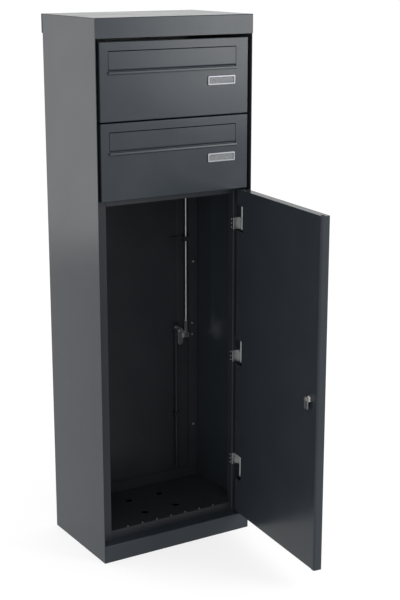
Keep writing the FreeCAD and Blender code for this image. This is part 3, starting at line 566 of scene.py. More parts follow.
# ---- pieces ----
class Workshop:
    """Turns skins into finished pieces that are dressed, ride on their body and stand for CAD nodes."""

    smooth_angle = math.radians(35)
    flat_angle = math.radians(0.5)
    weld = 1e-6

    def __init__(self, wardrobe: Wardrobe) -> None:
        """Keeps the finishes at hand."""
        self.wardrobe = wardrobe

    def piece(self, name: str, skin: Skin, slot: Slot, body: str, nodes: Sequence[str],
              edge: float = 0.0) -> bpy.types.Object:
        """Makes one piece of a skin.

        Args:
            name: the piece's name.
            skin: its surfaces.
            slot: finish that it takes.
            body: CAD body that it rides on.
            nodes: CAD nodes that it stands for.
            edge: radius of its broken edges, in millimetres.

        Returns:
            The new object.
        """
        mesh = bpy.data.meshes.new(name)
        mesh.from_pydata((np.vstack(skin.points) * MM).tolist(), [], skin.faces)
        work = bmesh.new()
        work.from_mesh(mesh)
        bmesh.ops.remove_doubles(work, verts=work.verts, dist=self.weld)
        bmesh.ops.dissolve_degenerate(work, edges=work.edges, dist=self.weld)
        bmesh.ops.recalc_face_normals(work, faces=work.faces)
        work.to_mesh(mesh)
        work.free()
        return self._finish(name, mesh, slot, body, nodes, edge)

    def softened(self, node_name: str, edge: float = 0.4, slot: Slot | None = None) -> bpy.types.Object:
        """Copy of a CAD node whose flat faces are joined again and whose edges are broken.

        Args:
            node_name: the CAD node.
            edge: radius of its broken edges, in millimetres.
            slot: finish that it takes, the node's own when none is given.

        Returns:
            The new object.
        """
        part = frame["nodes"][node_name]
        mesh = part.data.copy()
        work = bmesh.new()
        work.from_mesh(mesh)
        bmesh.ops.remove_doubles(work, verts=work.verts, dist=self.weld)
        bmesh.ops.dissolve_limit(work, angle_limit=self.flat_angle, verts=work.verts, edges=work.edges)
        work.to_mesh(mesh)
        work.free()
        slot = slot or Slot(part.material_slots[0].material.name.split(".")[0])
        return self._finish(f"{node_name}_formed", mesh, slot, part["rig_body"], [node_name], edge)

    def _finish(self, name: str, mesh: bpy.types.Mesh, slot: Slot, body: str, nodes: Sequence[str],
                edge: float) -> bpy.types.Object:
        """Shades a mesh, breaks its edges, dresses it, puts it on its body and hides the CAD nodes that it
        stands for.
        """
        mesh.shade_smooth()
        mesh.set_sharp_from_angle(angle=self.smooth_angle)
        made = bpy.data.objects.new(name, mesh)
        bpy.context.scene.collection.objects.link(made)
        if edge:
            bevel = made.modifiers.new("broken_edges", "BEVEL")
            bevel.width = edge * MM
            bevel.segments = 2
            bevel.limit_method = "ANGLE"
            bevel.angle_limit = self.smooth_angle
            bevel.harden_normals = True
        flatten = made.modifiers.new("flat_faces", "WEIGHTED_NORMAL")
        flatten.keep_sharp = True
        self.wardrobe.dress(made, slot)
        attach(made, body)
        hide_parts(*nodes)
        log.info("%s: %d faces, on %s", name, len(mesh.polygons), body)
        return made


@dataclass(frozen=True)
class Fold:
    """One folded sheet, carried along a side of its CAD node's box.

    Its outer face's line runs through corners of that box; each is given by two numbers, one for each of
    the plane's coordinates: 0 for the low side and 1 for the high one. The sheet is on the line's left.
    """

    name: str
    node_name: str
    slot: Slot
    axis: Axis
    corners: tuple[tuple[int, int], ...]
    bend: float = 2.2
    sheet: float = 1.5

    def build(self, shop: Workshop, edge: float) -> None:
        """Makes the sheet, with its edges broken."""
        box = Place.of(self.node_name)
        sides = np.stack([box.low, box.high])
        first, second = [number for number in range(3) if number != self.axis.value]
        line = [(sides[a, first], sides[b, second]) for a, b in self.corners]
        start, stop = sides[:, self.axis.value]
        skin = Skin().prism(folded(line, self.sheet, self.bend), self.axis, start, stop)
        shop.piece(self.name, skin, self.slot, CABINET, [self.node_name], edge)


@dataclass(frozen=True)
class Carcass:
    """Side sheets, roof, kick plates, posts and rails that don't move."""

    hem: float = 0.7
    edge: float = 0.3
    folds: tuple[Fold, ...] = (
        Fold("roof_lid", "roof_cap", Slot.GREY, Axis.X, ((1, 0), (1, 1), (0, 1), (0, 0)), bend=2.6),
        Fold("front_kick_plate", "front_plinth", Slot.GREY, Axis.X, ((1, 1), (0, 1), (0, 0))),
        Fold("rear_kick_plate", "rear_plinth", Slot.GREY, Axis.X, ((1, 0), (1, 1), (0, 1))),
        Fold("header_angle", "header_rail", Slot.DARK, Axis.X, ((0, 1), (0, 0), (1, 0))),
        Fold("right_post", "right_jamb", Slot.DARK, Axis.Z, ((0, 1), (0, 0), (1, 0), (1, 1))),
        Fold("left_rear_post", "rear_left_stile", Slot.DARK, Axis.Z, ((0, 1), (0, 0), (1, 0))),
        Fold("right_rear_post", "rear_right_stile", Slot.DARK, Axis.Z, ((0, 0), (1, 0), (1, 1))),
    )
    formed: tuple[str, ...] = (
        "left_jamb", "front_sill", "floor_pan", "base_plate", "compartment_ceiling",
        "rear_bottom_rail", "rear_middle_rail", "rear_module_rail", "rear_top_rail",
    )

    def build(self, shop: Workshop) -> None:
        """Makes every piece of the carcass."""
        for side in ("left", "right"):
            self.side_sheet(shop, side)
        for fold in self.folds:
            fold.build(shop, self.edge)
        for name in self.formed:
            shop.softened(name, self.edge)

    def side_sheet(self, shop: Workshop, side: str) -> None:
        """Side panel: a long thin rectangle with full-round upright hems, carried up."""
        node_name = f"{side}_side_panel"
        box = Place.of(node_name)
        outline = box_outline(box.low[0], box.high[0], box.low[1], box.high[1], self.hem, steps=6)
        skin = Skin().prism(outline, Axis.Z, box.low[2], box.high[2], self.edge)
        shop.piece(f"{side}_side_sheet", skin, Slot.GREY, CABINET, [node_name])


@dataclass(frozen=True)
class LetterFront:
    """Front of one letterbox: dished panel with its slot, flap, flap rod and name plate."""

    level: str
    sheet: float = 1.5
    bend: float = 1.8
    flange: float = 12.0
    slot_gap: float = 1.0
    slot_top_gap: float = 1.8
    slot_foot_gap: float = 1.4
    slot_corner: float = 1.4
    lug: float = 2.0
    flap_sheet: float = 1.2
    flap_bend: float = 1.4
    channel_top: float = 11.0
    channel_depth: float = 3.5
    hem_past: float = 2.0
    hem_height: float = 5.4
    hem_depth: float = 2.4
    hem_tilt: float = 8.0
    eye: float = 2.7
    rod: float = 1.5
    play: float = 0.05
    stop_reach: float = 10.0
    stop_rise: float = 2.0
    stop_corner: float = 1.0
    lug_corner: float = 1.2
    rim: float = 3.0
    rim_round: float = 0.7
    rim_corner: float = 2.0
    least_corner: float = 0.6
    card: float = 0.6
    window: float = 0.9
    edge: float = 0.25

    def build(self, shop: Workshop) -> None:
        """Makes every piece of this letterbox's front."""
        self.panel(shop)
        self.flap(shop)
        self.name_rim(shop)

    def slot_edges(self) -> tuple[float, float, float, float]:
        """Left, right, bottom and top of the letter slot, a gap outside the flap."""
        flap = Place.of(f"{self.level}_flap")
        return (flap.low[0] - self.slot_gap, flap.high[0] + self.slot_gap,
                flap.low[2] - self.slot_foot_gap, flap.high[2] + self.slot_top_gap)

    def panel(self, shop: Workshop) -> None:
        """Dished panel: rounded rectangles stacked from the flange's end over the bend to the slot's rim,
        through the slot and back along the inside. The bend's inset is r (1 - cos w), its depth r (1 - sin w)
        at an angle w."""
        box = Place.of(f"{self.level}_front_panel")
        face = box.low[1]
        back, end = face + self.sheet, face + self.sheet + self.flange
        turn = np.linspace(0, math.pi / 2, 7)
        insets, depths = self.bend * (1 - np.cos(turn)), self.bend * (1 - np.sin(turn))
        s0, s1, b, t = self.slot_edges()
        e = self.edge
        steps = [(0.0, end)] + [(inset, face + depth) for inset, depth in zip(insets, depths)]
        rows = [inside(box, inset, self.bend, e, y) for inset, y in steps]
        rows += [(s0 - e, s1 + e, b - e, t + e, self.slot_corner + e, face),
                 (s0, s1, b, t, self.slot_corner, face + e), (s0, s1, b, t, self.slot_corner, back)]
        steps = [(self.sheet + e, back), (self.sheet, back + e), (self.sheet, end)]
        rows += [inside(box, inset, self.bend, e, y) for inset, y in steps]
        skin = Skin().surface(stacked(rows), close_rows=True, close_columns=True)
        stop = box_outline(s0 - self.slot_gap, s1 + self.slot_gap, b - self.stop_reach, b + self.stop_rise,
                           self.stop_corner)
        skin.prism(stop, Axis.Y, back, back + self.sheet, e)
        rod = self.rod_centre()
        for start in (s0 - self.lug, s1):
            lug = box_outline(back, rod[0] + 2 * self.rod + self.lug, rod[1] - 2 * self.lug, t + self.lug,
                              self.lug_corner)
            skin.prism(lug, Axis.X, start, start + self.lug, e)
        shop.piece(f"{self.level}_letter_front", skin, Slot.GREY, CABINET, [f"{self.level}_front_panel"])

    def rod_centre(self) -> tuple[float, float]:
        """YZ place of this flap's rod."""
        rods = Place.of("flap_rods")
        flap = Place.of(f"{self.level}_flap")
        return (rods.middle[1], flap.high[2] - self.eye)

    def flap(self, shop: Workshop) -> None:
        """Flap: the face line runs down, slants inward as a finger channel and turns forward into the lip,
        which ends in a flattened hem, tilted up; its back is one sheet behind. A rolled eye, a pipe along X,
        holds it on its rod."""
        box = Place.of(f"{self.level}_flap")
        (x0, lip, z0), (x1, _, z1) = box.low, box.high
        face = Place.of(f"{self.level}_front_panel").low[1]
        step = z0 + self.channel_top
        ledge = z0 + self.hem_height
        nose = lip + self.hem_depth / 2
        line = [(face, z1), (face, step), (face + self.channel_depth, ledge), (nose, ledge)]
        skin = Skin().prism(folded(line, self.flap_sheet, self.flap_bend), Axis.X, x0, x1)
        tilt = math.radians(self.hem_tilt)
        turned = np.array([[math.cos(tilt), math.sin(tilt)], [-math.sin(tilt), math.cos(tilt)]])
        half = self.hem_depth / 2
        hem = box_outline(-half, half, 0, self.hem_height, half - self.play)
        skin.prism(hem @ turned.T + (nose, z0 + self.edge), Axis.X, x0 - self.hem_past, x1 + self.hem_past,
                   self.edge)
        y, z = self.rod_centre()
        hole = self.rod + self.play
        wall = [(self.eye, x0), (self.eye, x1), (hole, x1), (hole, x0)]
        skin.turned(wall, (0.0, y, z), Axis.X, steps=24, hollow=True)
        shop.piece(f"{self.level}_flap_plate", skin, Slot.GREY, f"{self.level}_flap", [f"{self.level}_flap"],
                   self.edge)

    def name_rim(self, shop: Workshop) -> None:
        """Name plate's rim: rounded rectangles stacked up the outside, over a rounded crest and down the
        inside to the window."""
        box = Place.of(f"{self.level}_name_frame")
        crest, face = box.low[1], box.high[1]
        turn = np.linspace(0, math.pi / 2, 5)
        r = self.rim_round
        seat = face - self.card - self.window
        steps = [(0.0, face)]
        steps += [(r * (1 - math.cos(w)), crest + r * (1 - math.sin(w))) for w in turn]
        steps += [(self.rim - r * math.cos(w), crest + r * (1 - math.sin(w))) for w in turn[::-1]]
        steps += [(self.rim, seat), (self.rim / 2, seat), (self.rim / 2, face)]
        rows = [inside(box, inset, self.rim_corner, self.least_corner, y) for inset, y in steps]
        skin = Skin().surface(stacked(rows), close_rows=True, close_columns=True)
        shop.piece(f"{self.level}_name_rim", skin, Slot.NAME_FRAME, CABINET, [f"{self.level}_name_frame"])


@dataclass(frozen=True)
class NameInserts:
    """Cards and clear windows of both name plates, and both flap rods."""

    levels: tuple[str, ...] = ("lower", "upper")
    play: float = 1.6
    card: float = 0.6
    window: float = 0.8
    air: float = 0.1
    soft: float = 0.2
    eye: float = 2.7
    rod: float = 1.5
    rod_end: float = 0.5

    def build(self, shop: Workshop) -> None:
        """Makes the cards, the windows and the rods."""
        cards, windows, rods = Skin(), Skin(), Skin()
        reach = Place.of("flap_rods")
        for level in self.levels:
            box = Place.of(f"{level}_name_frame")
            x0, x1 = box.low[0] + self.play, box.high[0] - self.play
            z0, z1 = box.low[2] + self.play, box.high[2] - self.play
            face = box.high[1]
            cards.prism(box_outline(x0, x1, z0, z1, 0.5), Axis.Y, face - self.card, face)
            near = face - self.card - self.air
            windows.prism(box_outline(x0, x1, z0, z1, 0.5), Axis.Y, near - self.window, near, self.soft)
            z = Place.of(f"{level}_flap").high[2] - self.eye
            profile = [(0.0, 0.0), (self.rod - self.rod_end, 0.0), (self.rod, self.rod_end),
                       (self.rod, reach.size[0] - self.rod_end), (self.rod - self.rod_end, reach.size[0]),
                       (0.0, reach.size[0])]
            rods.turned(profile, np.array([reach.low[0], reach.middle[1], z]), Axis.X, steps=20)
        shop.piece("grey_name_cards", cards, Slot.NAME_CARD, CABINET, ["name_cards"])
        shop.piece("clear_name_windows", windows, Slot.WINDOW, CABINET, ["name_windows"])
        shop.piece("flap_hinge_rods", rods, Slot.ZINC, CABINET, ["flap_rods"])


@dataclass(frozen=True)
class Fasteners:
    """Blind rivets of the sill and the hinges, and the pan-head screws of the rear posts."""

    sill_rivets: int = 7
    sill_pitch: float = 41.3
    sill_inset: float = 6.0
    rivet: float = 2.4
    rise: float = 1.3
    hinge_rivet: float = 1.9
    screw: float = 3.0
    strike_screw: float = 2.4
    screw_rise: float = 1.2
    post_inset: float = 14.3
    screw_drop: float = 267.5
    screw_climb: float = 181.5

    def build(self, shop: Workshop, hinges: "Hinges") -> None:
        """Makes the rivets and the screws."""
        rivets, screws = Skin(), Skin()
        sill = Place.of("front_sill")
        row = sill.low[1] + self.sill_inset
        for step in range(self.sill_rivets):
            x = (step - (self.sill_rivets - 1) / 2) * self.sill_pitch
            rivets.turned(self.dome(self.rivet), np.array([x, row, sill.high[2]]), Axis.Z)
        post = Place.of("right_jamb")
        for level in hinges.levels():
            for step in (1, 3, 5):
                height = level + step * hinges.height / 6
                spot = np.array([post.low[0], post.low[1] + post.size[1] / 3, height])
                rivets.turned(self.dome(self.hinge_rivet), spot, Axis.X, sign=-1, steps=24)
        lock = Place.of("rear_parcel_lock").middle
        stile = Place.of("rear_right_stile")
        for side in (-1, 1):
            for z in (lock[2] - self.screw_drop, lock[2] + self.screw_climb):
                spot = np.array([side * (stile.low[0] + self.post_inset), stile.low[1], z])
                screws.turned(self.pan_head(self.screw), spot, Axis.Y, sign=-1)
        strike = Place.of("strike_plate")
        for side in (-1, 1):
            spot = np.array([strike.middle[0], strike.low[1], strike.middle[2] + side * strike.size[2] / 3])
            screws.turned(self.pan_head(self.strike_screw), spot, Axis.Y, sign=-1)
        shop.piece("blind_rivets", rivets, Slot.ZINC, CABINET, ["frame_rivets"])
        shop.piece("pan_head_screws", screws, Slot.ZINC, CABINET, ["frame_screws"])

    def dome(self, radius: float) -> list[tuple[float, float]]:
        """Profile of a blind rivet's head: a domed flange round the snapped mandrel's dimple."""
        w = np.linspace(0, math.pi / 2, 6)[:-1]
        dome = [(radius * math.cos(a), self.rise * math.sin(a)) for a in w]
        dimple = [(radius * 0.42, self.rise), (radius * 0.36, self.rise * 0.75), (0.0, self.rise * 0.8)]
        return [(0.0, 0.0)] + dome + dimple

    def pan_head(self, radius: float) -> list[tuple[float, float]]:
        """Profile of a pan head: upright rim, rounded shoulder and a driver recess."""
        rise = self.screw_rise
        floor = rise * 0.3
        recess = [(radius * 0.45, rise), (radius * 0.2, floor), (0.0, floor)]
        return [(0.0, 0.0), (radius, 0.0)] + shoulder(radius, rise, rise * 0.5, 5) + recess


@dataclass(frozen=True)
class Hinges:
    """Three butt hinges of the front door: leaf and knuckle on the post and on the door, and the pin."""

    height: float = 30.0
    knuckle: float = 3.5
    pin: float = 2.0
    play: float = 0.05
    web: float = 3.0
    leaf: float = 2.0
    leaf_width: float = 22.5
    foot_width: float = 20.0
    gap: float = 0.6
    head: float = 1.3
    soft: float = 0.5
    sheet: float = 1.5
    corner: float = 2.5
    open_angle: float = 85.0

    def axis(self) -> Array:
        """XY place of the hinge line, in millimetres."""
        joint = next(j for j in frame["joints"] if j["name"] == "parcel_door_hinge")
        return np.array(joint["pos_m"][:2]) / MM

    def levels(self) -> list[float]:
        """Foot of each frame leaf, from the lowest hinge up."""
        leaves = frame["nodes"]["hinge_frame_leaves"].data
        heights = np.empty(len(leaves.vertices) * 3, np.float32)
        leaves.vertices.foreach_get("co", heights)
        feet = np.unique(np.round(heights[2::3] / MM, 2))
        return [float(z) for z in feet[::2]]

    def spans(self) -> list[tuple[float, float]]:
        """Foot and top of each hinge's two knuckles; the lowest hinge is turned over."""
        both = 2 * self.height + self.gap
        lowest, *others = self.levels()
        return [(lowest - self.height - self.gap, lowest + self.height)] + [(z, z + both) for z in others]

    def build(self, shop: Workshop) -> None:
        """Makes the three sets of leaves and pins."""
        x, y = self.axis()
        post = Place.of("right_jamb")
        face = Place.of("lower_front_panel").low[1] + self.sheet
        frame_leaves, door_leaves, pins = Skin(), Skin(), Skin()
        half = self.web / 2
        for number, level in enumerate(self.levels()):
            z0, z1 = level, level + self.height
            turned_over = number == 0
            d0 = z0 - self.gap - self.height if turned_over else z1 + self.gap
            plate = box_outline(post.low[0], post.low[0] + self.leaf_width, z0, z1, self.corner)
            frame_leaves.prism(plate, Axis.Y, post.low[1] - self.leaf, post.low[1], self.soft)
            middle = post.low[1] - self.leaf / 2
            arm = box_outline(x - half, x + half, y + self.knuckle / 2, middle, self.soft)
            frame_leaves.prism(arm, Axis.Z, z0, z1, self.soft)
            self.barrel(frame_leaves, x, y, z0, z1)
            foot = box_outline(x + half - self.foot_width, x + half, d0, d0 + self.height, self.corner)
            door_leaves.prism(foot, Axis.Y, face, face + self.leaf, self.soft)
            arm = box_outline(x - half, x + half, face + self.leaf / 2, y - self.knuckle / 2, self.soft)
            door_leaves.prism(arm, Axis.Z, d0, d0 + self.height, self.soft)
            self.barrel(door_leaves, x, y, d0, d0 + self.height)
            self.pin_through(pins, x, y, min(z0, d0) - self.gap, max(z0, d0) + self.height + self.gap / 2)
        door_leaves.swung(self.axis(), self.open_angle)
        shop.piece("post_hinge_leaves", frame_leaves, Slot.ZINC, CABINET, ["hinge_frame_leaves"])
        shop.piece("door_hinge_leaves", door_leaves, Slot.ZINC, FRONT_DOOR, ["hinge_door_leaves"])
        shop.piece("headed_hinge_pins", pins, Slot.ZINC, CABINET, ["hinge_pins"])

    def barrel(self, skin: Skin, x: float, y: float, z0: float, z1: float) -> None:
        """Knuckle: a pipe with chamfered rims, as a closed profile that goes round the pin."""
        outer, inner, soft = self.knuckle, self.pin + self.play, self.soft
        profile = [(inner, z0), (outer - soft, z0), (outer, z0 + soft), (outer, z1 - soft),
                   (outer - soft, z1), (inner, z1)]
        skin.turned(profile, (x, y, 0.0), Axis.Z, steps=28, hollow=True)

    def pin_through(self, skin: Skin, x: float, y: float, low: float, high: float) -> None:
        """Pin with a domed head on top and a chamfered foot."""
        head = self.knuckle - self.gap / 2
        w = np.linspace(0, math.pi / 2, 5)
        dome = [(head * math.cos(a), high + self.head * (0.35 + 0.65 * math.sin(a))) for a in w]
        profile = [(0.0, low), (self.pin - self.soft, low), (self.pin, low + self.soft), (self.pin, high),
                   (head, high)] + dome
        skin.turned(profile, np.array([x, y, 0.0]), Axis.Z, steps=24)


class Facing(Enum):
    """Which way a lock's key side looks."""

    FRONT = -1
    REAR = 1


@dataclass(frozen=True)
class CamLock:
    """Cylinder lock: escutcheon and threaded body with its nut, and the turning plug with a key slot."""

    housing_name: str
    housing_body: str
    plug_name: str | None
    plug_body: str
    facing: Facing
    centre: tuple[float, float]
    face: float
    seat: float
    inner_end: float
    plane: float
    open_angle: float = 0.0
    body: float = 8.0
    plug: float = 5.0
    escutcheon: float = 11.5
    depth: float = 2.5
    proud: float = 2.0
    nut_flats: float = 17.0
    nut_depth: float = 4.5
    pitch: float = 1.5
    thread: float = 0.35
    key_width: float = 1.4
    key_length: float = 7.0
    key_depth: float = 3.0
    soft: float = 0.4
    play: float = 0.05

    def build(self, shop: Workshop, pivot: Array) -> None:
        """Makes the housing with its nut, and the plug."""
        housing = Skin()
        self.sleeve(housing)
        self.nut(housing)
        housing.swung(pivot, self.open_angle)
        shop.piece(f"{self.housing_name}_body", housing, Slot.CHROME, self.housing_body, [self.housing_name])
        if self.plug_name:
            plug = Skin()
            self.key_plug(plug)
            plug.swung(pivot, self.open_angle)
            shop.piece(f"{self.plug_name}_key_plug", plug, Slot.CHROME, self.plug_body, [self.plug_name])

    def sleeve(self, skin: Skin) -> None:
        """Escutcheon with a rounded rim and the body behind it, threaded: the radius swings by the thread's
        depth once per pitch. The bore closes the profile on itself."""
        bore = self.plug + self.play
        out = abs(self.inner_end - self.face)
        rim = shoulder(self.escutcheon, self.depth, self.depth / 2, 6)
        turns = np.arange(0, out, self.pitch / 4)[1:]
        swing = self.body - self.thread * (0.5 - 0.5 * np.cos(2 * math.pi * turns / self.pitch))
        thread = list(zip(swing.tolist(), (-turns).tolist()))
        profile = [(bore, self.depth - self.soft), (bore + self.soft, self.depth)] + rim[::-1]
        profile += [(self.escutcheon, 0.0)]
        profile += thread + [(self.body - self.thread, -out), (bore, -out)]
        centre = (self.centre[0], self.face, self.centre[1])
        skin.turned(profile, centre, Axis.Y, self.facing.value, steps=40, hollow=True)

    def nut(self, skin: Skin) -> None:
        """Hexagon nut: its outline's radius is the half flats over the cosine of the angle from the nearest
        flat's middle, cut by a cone at both rims."""
        angle = np.linspace(0, 2 * math.pi, 48, endpoint=False)
        flat = self.nut_flats / 2
        hexagon = flat / np.cos((angle + math.pi / 6) % (math.pi / 3) - math.pi / 6)
        cone = flat + 0.3
        way = -self.facing.value
        rows = [(np.minimum(hexagon, cone), 0.0), (hexagon, 0.6), (hexagon, self.nut_depth - 0.6),
                (np.minimum(hexagon, cone), self.nut_depth)]
        inner = np.full_like(angle, self.body)
        rows += [(inner, self.nut_depth), (inner, 0.0)]
        grid = np.empty((len(rows), len(angle), 3))
        for ring, (radius, along) in zip(grid, rows):
            ring[:, 0] = self.centre[0] + radius * np.cos(angle)
            ring[:, 2] = self.centre[1] + radius * np.sin(angle)
            ring[:, 1] = self.seat + way * along
        skin.surface(grid, close_rows=True, close_columns=True)

    def key_plug(self, skin: Skin) -> None:
        """Plug: rings from its inner end to its face, then a ring that meets the key slot's outline point for
        point, and the slot's walls down to its floor."""
        steps = 10
        slot = box_outline(-self.key_width / 2, self.key_width / 2, -self.key_length / 2, self.key_length / 2,
                           0.3, steps)
        start = math.atan2(slot[0, 1], slot[0, 0])
        angle = start + np.linspace(0, 2 * math.pi, len(slot), endpoint=False)
        disc = np.stack([np.cos(angle), np.sin(angle)], 1)
        inner = -abs(self.plane - self.face)
        rows = [(disc * self.plug, inner), (disc * self.plug, self.proud - self.soft),
                (disc * (self.plug - self.soft), self.proud), (slot, self.proud),
                (slot, self.proud - self.key_depth)]
        grid = np.empty((len(rows), len(slot), 3))
        for ring, (outline, height) in zip(grid, rows):
            ring[:, [0, 2]] = outline + self.centre
            ring[:, 1] = self.face + self.facing.value * height
        skin.tube(grid)


@dataclass(frozen=True)
class ParcelDoor:
    """Front parcel door: folded pan, liner, lock, cam and cam screw. It is shaped closed, then swung open."""

    face_to_seat: float = 20.7
    face_to_plane: float = 29.5
    thickness: float = 21.5
    lip: float = 12.0
    cam_gap: float = 0.3
    lock_inset: float = 34.0
    sheet: float = 1.5
    face_bend: float = 2.2
    lip_bend: float = 4.5
    overlap: float = 0.15
    notch_play: float = 2.0
    liner_sheet: float = 1.2
    liner_gap: float = 0.3
    liner_notch: float = 21.0
    liner_corner: float = 4.0
    edge: float = 0.3

    def build(self, shop: Workshop, hinges: Hinges) -> None:
        """Makes the door's pieces."""
        self.pan(shop, hinges)
        self.liner(shop, hinges)
        for name in ("parcel_lock_cam", "parcel_cam_screw"):
            shop.softened(name, 0.25)
        panel = Place.of("lower_front_panel")
        centre = (panel.low[0] + self.lock_inset, float(Place.of("parcel_lock").middle[2]))
        face = panel.low[1]
        plane = face + self.face_to_plane
        lock = CamLock("parcel_lock", FRONT_DOOR, "parcel_lock_plug", "parcel_lock_turn", Facing.FRONT,
                       centre, face, face + self.face_to_seat, plane - self.cam_gap, plane,
                       open_angle=hinges.open_angle)
        lock.build(shop, hinges.axis())

    def pan(self, shop: Workshop, hinges: Hinges) -> None:
        """Outer pan: the free edge's lip, wall and the face are one fold carried up; the hinge edge's wall
        and lip are a second fold, carried up between the hinge notches; flat strips close the top and the
        bottom."""
        panel = Place.of("lower_front_panel")
        door = Place.of("parcel_door_skin")
        x0, x1, face = panel.low[0], panel.high[0], panel.low[1]
        z0, z1, inner = door.low[2], door.high[2], panel.low[1] + self.thickness
        shared = face + self.face_bend
        skin = Skin()
        line = [(x0 + self.lip, inner), (x0, inner), (x0, face), (x1, face), (x1, shared + self.overlap)]
        bends = (self.lip_bend, self.face_bend, self.face_bend)
        skin.prism(folded(line, self.sheet, bends), Axis.Z, z0, z1)
        wall = folded([(x1, shared), (x1, inner), (x1 - self.lip, inner)], self.sheet, self.lip_bend)
        notches = [(low - self.notch_play, high + self.notch_play) for low, high in hinges.spans()]
        ends = [z0] + [height for notch in notches for height in notch] + [z1]
        for low, high in zip(ends[::2], ends[1::2]):
            skin.prism(wall, Axis.Z, low, high)
        seam = (face + inner) / 2
        strip = box_outline(x0 + self.sheet, x1 - self.sheet, face + self.sheet / 2, seam, 0.3)
        for low in (z0, z1 - self.sheet):
            skin.prism(strip, Axis.Z, low, low + self.sheet)
        skin.swung(hinges.axis(), hinges.open_angle)
        shop.piece("parcel_door_pan", skin, Slot.GREY, FRONT_DOOR, ["parcel_door_skin"], self.edge)

    def liner(self, shop: Workshop, hinges: Hinges) -> None:
        """Inner sheet: a rectangle with a round-cornered notch for each hinge, carried by one sheet along Y,
        and the flanges at its top and bottom that meet the outer pan."""
        panel = Place.of("lower_front_panel")
        door = Place.of("parcel_door_skin")
        inset = self.lip + self.liner_gap
        x0, x1, face = panel.low[0] + inset, panel.high[0] - inset, panel.low[1]
        z0, z1, plane = door.low[2], door.high[2], face + self.face_to_seat
        outline = [(x0, z1), (x0, z0), (x1, z0)]
        for low, high in hinges.spans():
            low, high, deep = low - self.notch_play, high + self.notch_play, x1 - self.liner_notch
            outline += [(x1, low), (deep, low), (deep, high), (x1, high)]
        outline += [(x1, z1)]
        corners = [self.edge] * len(outline)
        for number in range(3):
            corners[4 + 4 * number] = corners[5 + 4 * number] = self.liner_corner
        skin = Skin()
        shape, _ = rounded(outline, corners, True)
        skin.prism(shape, Axis.Y, plane - self.liner_sheet, plane)
        seam = (face + face + self.thickness) / 2 + self.liner_gap
        strip = box_outline(x0, x1, seam, plane - self.edge, self.edge)
        for low in (z0, z1 - self.liner_sheet):
            skin.prism(strip, Axis.Z, low, low + self.liner_sheet)
        skin.swung(hinges.axis(), hinges.open_angle)
        shop.piece("parcel_door_inner_sheet", skin, Slot.GREY, FRONT_DOOR, ["parcel_door_liner"], self.edge)


@dataclass(frozen=True)
class RearSide:
    """Rear parcel door with its three-point lock, and both rear letterbox doors."""

    sheet: float = 1.5

    def build(self, shop: Workshop) -> None:
        """Makes every piece at the rear."""
        for name in ("rear_parcel_door", "rear_door_liner", "lower_rear_door", "upper_rear_door"):
            shop.softened(name, 0.4)
        # Painted shade: the lower lock rod takes the dark coat. It is the same kind of rod as the upper one,
        # which keeps its own bright finish, and is darkened only where shade falls on it. The rod guides and
        # the strike plate take the dark coat too.
        for name in ("rod_guides", "lower_lock_rod", "strike_plate"):
            shop.softened(name, 0.25, Slot.DARK)
        for name in ("lock_rotor", "rotor_fasteners", "upper_lock_rod", "lower_rear_cam", "upper_rear_cam"):
            shop.softened(name, 0.25)
        still = np.zeros(2)
        box = Place.of("rear_parcel_lock")
        face = Place.of("rear_parcel_door").high[1]
        seat = Place.of("rear_door_liner").low[1]
        plug = Place.of("rear_parcel_lock_plug")
        centre = (float(plug.middle[0]), float(plug.middle[2]))
        CamLock("rear_parcel_lock", REAR_DOOR, "rear_parcel_lock_plug", "lock_rotor", Facing.REAR, centre,
                face, seat, box.low[1], plug.low[1]).build(shop, still)
        for level in ("lower", "upper"):
            box = Place.of(f"{level}_rear_lock")
            centre = (float(box.middle[0]), float(box.middle[2]))
            CamLock(f"{level}_rear_lock", f"{level}_rear_door", None, f"{level}_rear_cam", Facing.REAR,
                    centre, face, face - self.sheet, box.low[1], box.low[1]).build(shop, still)


# ---- studio ----
@dataclass(frozen=True)
class Lamp:
    """Upright soft box that faces a point at its own height."""

    name: str
    place: tuple[float, float, float]
    target: tuple[float, float]
    width: float
    height: float
    brightness: float

    def build(self) -> None:
        """Adds the lamp; its power is brightness times area times pi."""
        data = bpy.data.lights.new(self.name, "AREA")
        data.shape = "RECTANGLE"
        data.size, data.size_y = self.width, self.height
        data.energy = self.brightness * self.width * self.height * math.pi
        lamp = bpy.data.objects.new(self.name, data)
        lamp.location = self.place
        lamp.visible_camera = False
        heading = math.atan2(self.target[1] - self.place[1], self.target[0] - self.place[0])
        lamp.rotation_euler = Euler((math.radians(90), 0.0, heading - math.radians(90)))
        bpy.context.scene.collection.objects.link(lamp)


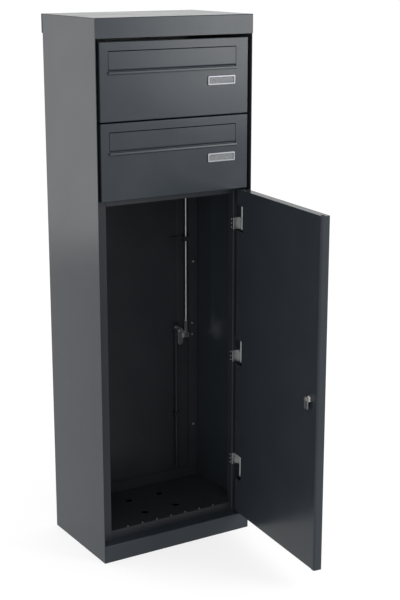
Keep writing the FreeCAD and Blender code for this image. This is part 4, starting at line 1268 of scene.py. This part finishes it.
@dataclass(frozen=True)
class Studio:
    """Camera, pale floor, white surroundings and soft lamps."""

    focal_length: float = 79.3
    camera_place: tuple[float, float, float] = (-1.556, -2.766, 1.4335)
    camera_tilt: float = 75.36
    camera_heading: float = -31.6
    floor_size: float = 60.0
    sky: float = 1.06
    lamps: tuple[Lamp, ...] = (
        Lamp("back_left_lamp", (-1.85, 2.0, 1.3), (-0.2, 0.0), 1.6, 2.2, 1.6),
        Lamp("front_right_lamp", (2.35, -2.75, 1.75), (0.2, 0.0), 1.6, 2.0, 9.2),
    )

    def build(self) -> None:
        """Adds everything that isn't the cabinet."""
        scene = bpy.context.scene
        data = bpy.data.cameras.new("camera")
        data.lens = self.focal_length
        camera = bpy.data.objects.new("camera", data)
        camera.location = self.camera_place
        tilt, heading = math.radians(self.camera_tilt), math.radians(self.camera_heading)
        camera.rotation_euler = Euler((tilt, 0.0, heading))
        scene.collection.objects.link(camera)
        scene.camera = camera
        half = self.floor_size / 2
        corners = [(-half, -half, 0.0), (half, -half, 0.0), (half, half, 0.0), (-half, half, 0.0)]
        mesh = bpy.data.meshes.new("floor")
        mesh.from_pydata(corners, [], [(0, 1, 2, 3)])
        mesh.materials.append(StudioFloor("lit_pale_studio_floor", "#868686", "#898989").material())
        floor = bpy.data.objects.new("floor", mesh)
        scene.collection.objects.link(floor)
        world = bpy.data.worlds.new("studio")
        world.use_nodes = True
        surround = world.node_tree.nodes["Background"]
        surround.inputs["Color"].default_value = (1.0, 1.0, 1.0, 1.0)
        surround.inputs["Strength"].default_value = self.sky
        scene.world = world
        scene.view_settings.view_transform = "Standard"
        for lamp in self.lamps:
            lamp.build()


def main() -> None:
    """Builds the scene."""
    logging.basicConfig(level=logging.INFO, format="%(name)s: %(message)s")
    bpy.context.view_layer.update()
    Studio().build()
    wardrobe = Wardrobe()
    shop = Workshop(wardrobe)
    hinges = Hinges()
    Carcass().build(shop)
    for level in ("lower", "upper"):
        LetterFront(level).build(shop)
    NameInserts().build(shop)
    hinges.build(shop)
    Fasteners().build(shop, hinges)
    ParcelDoor().build(shop, hinges)
    RearSide().build(shop)
    wardrobe.dress_nodes()


if __name__ == "__main__":
    main()
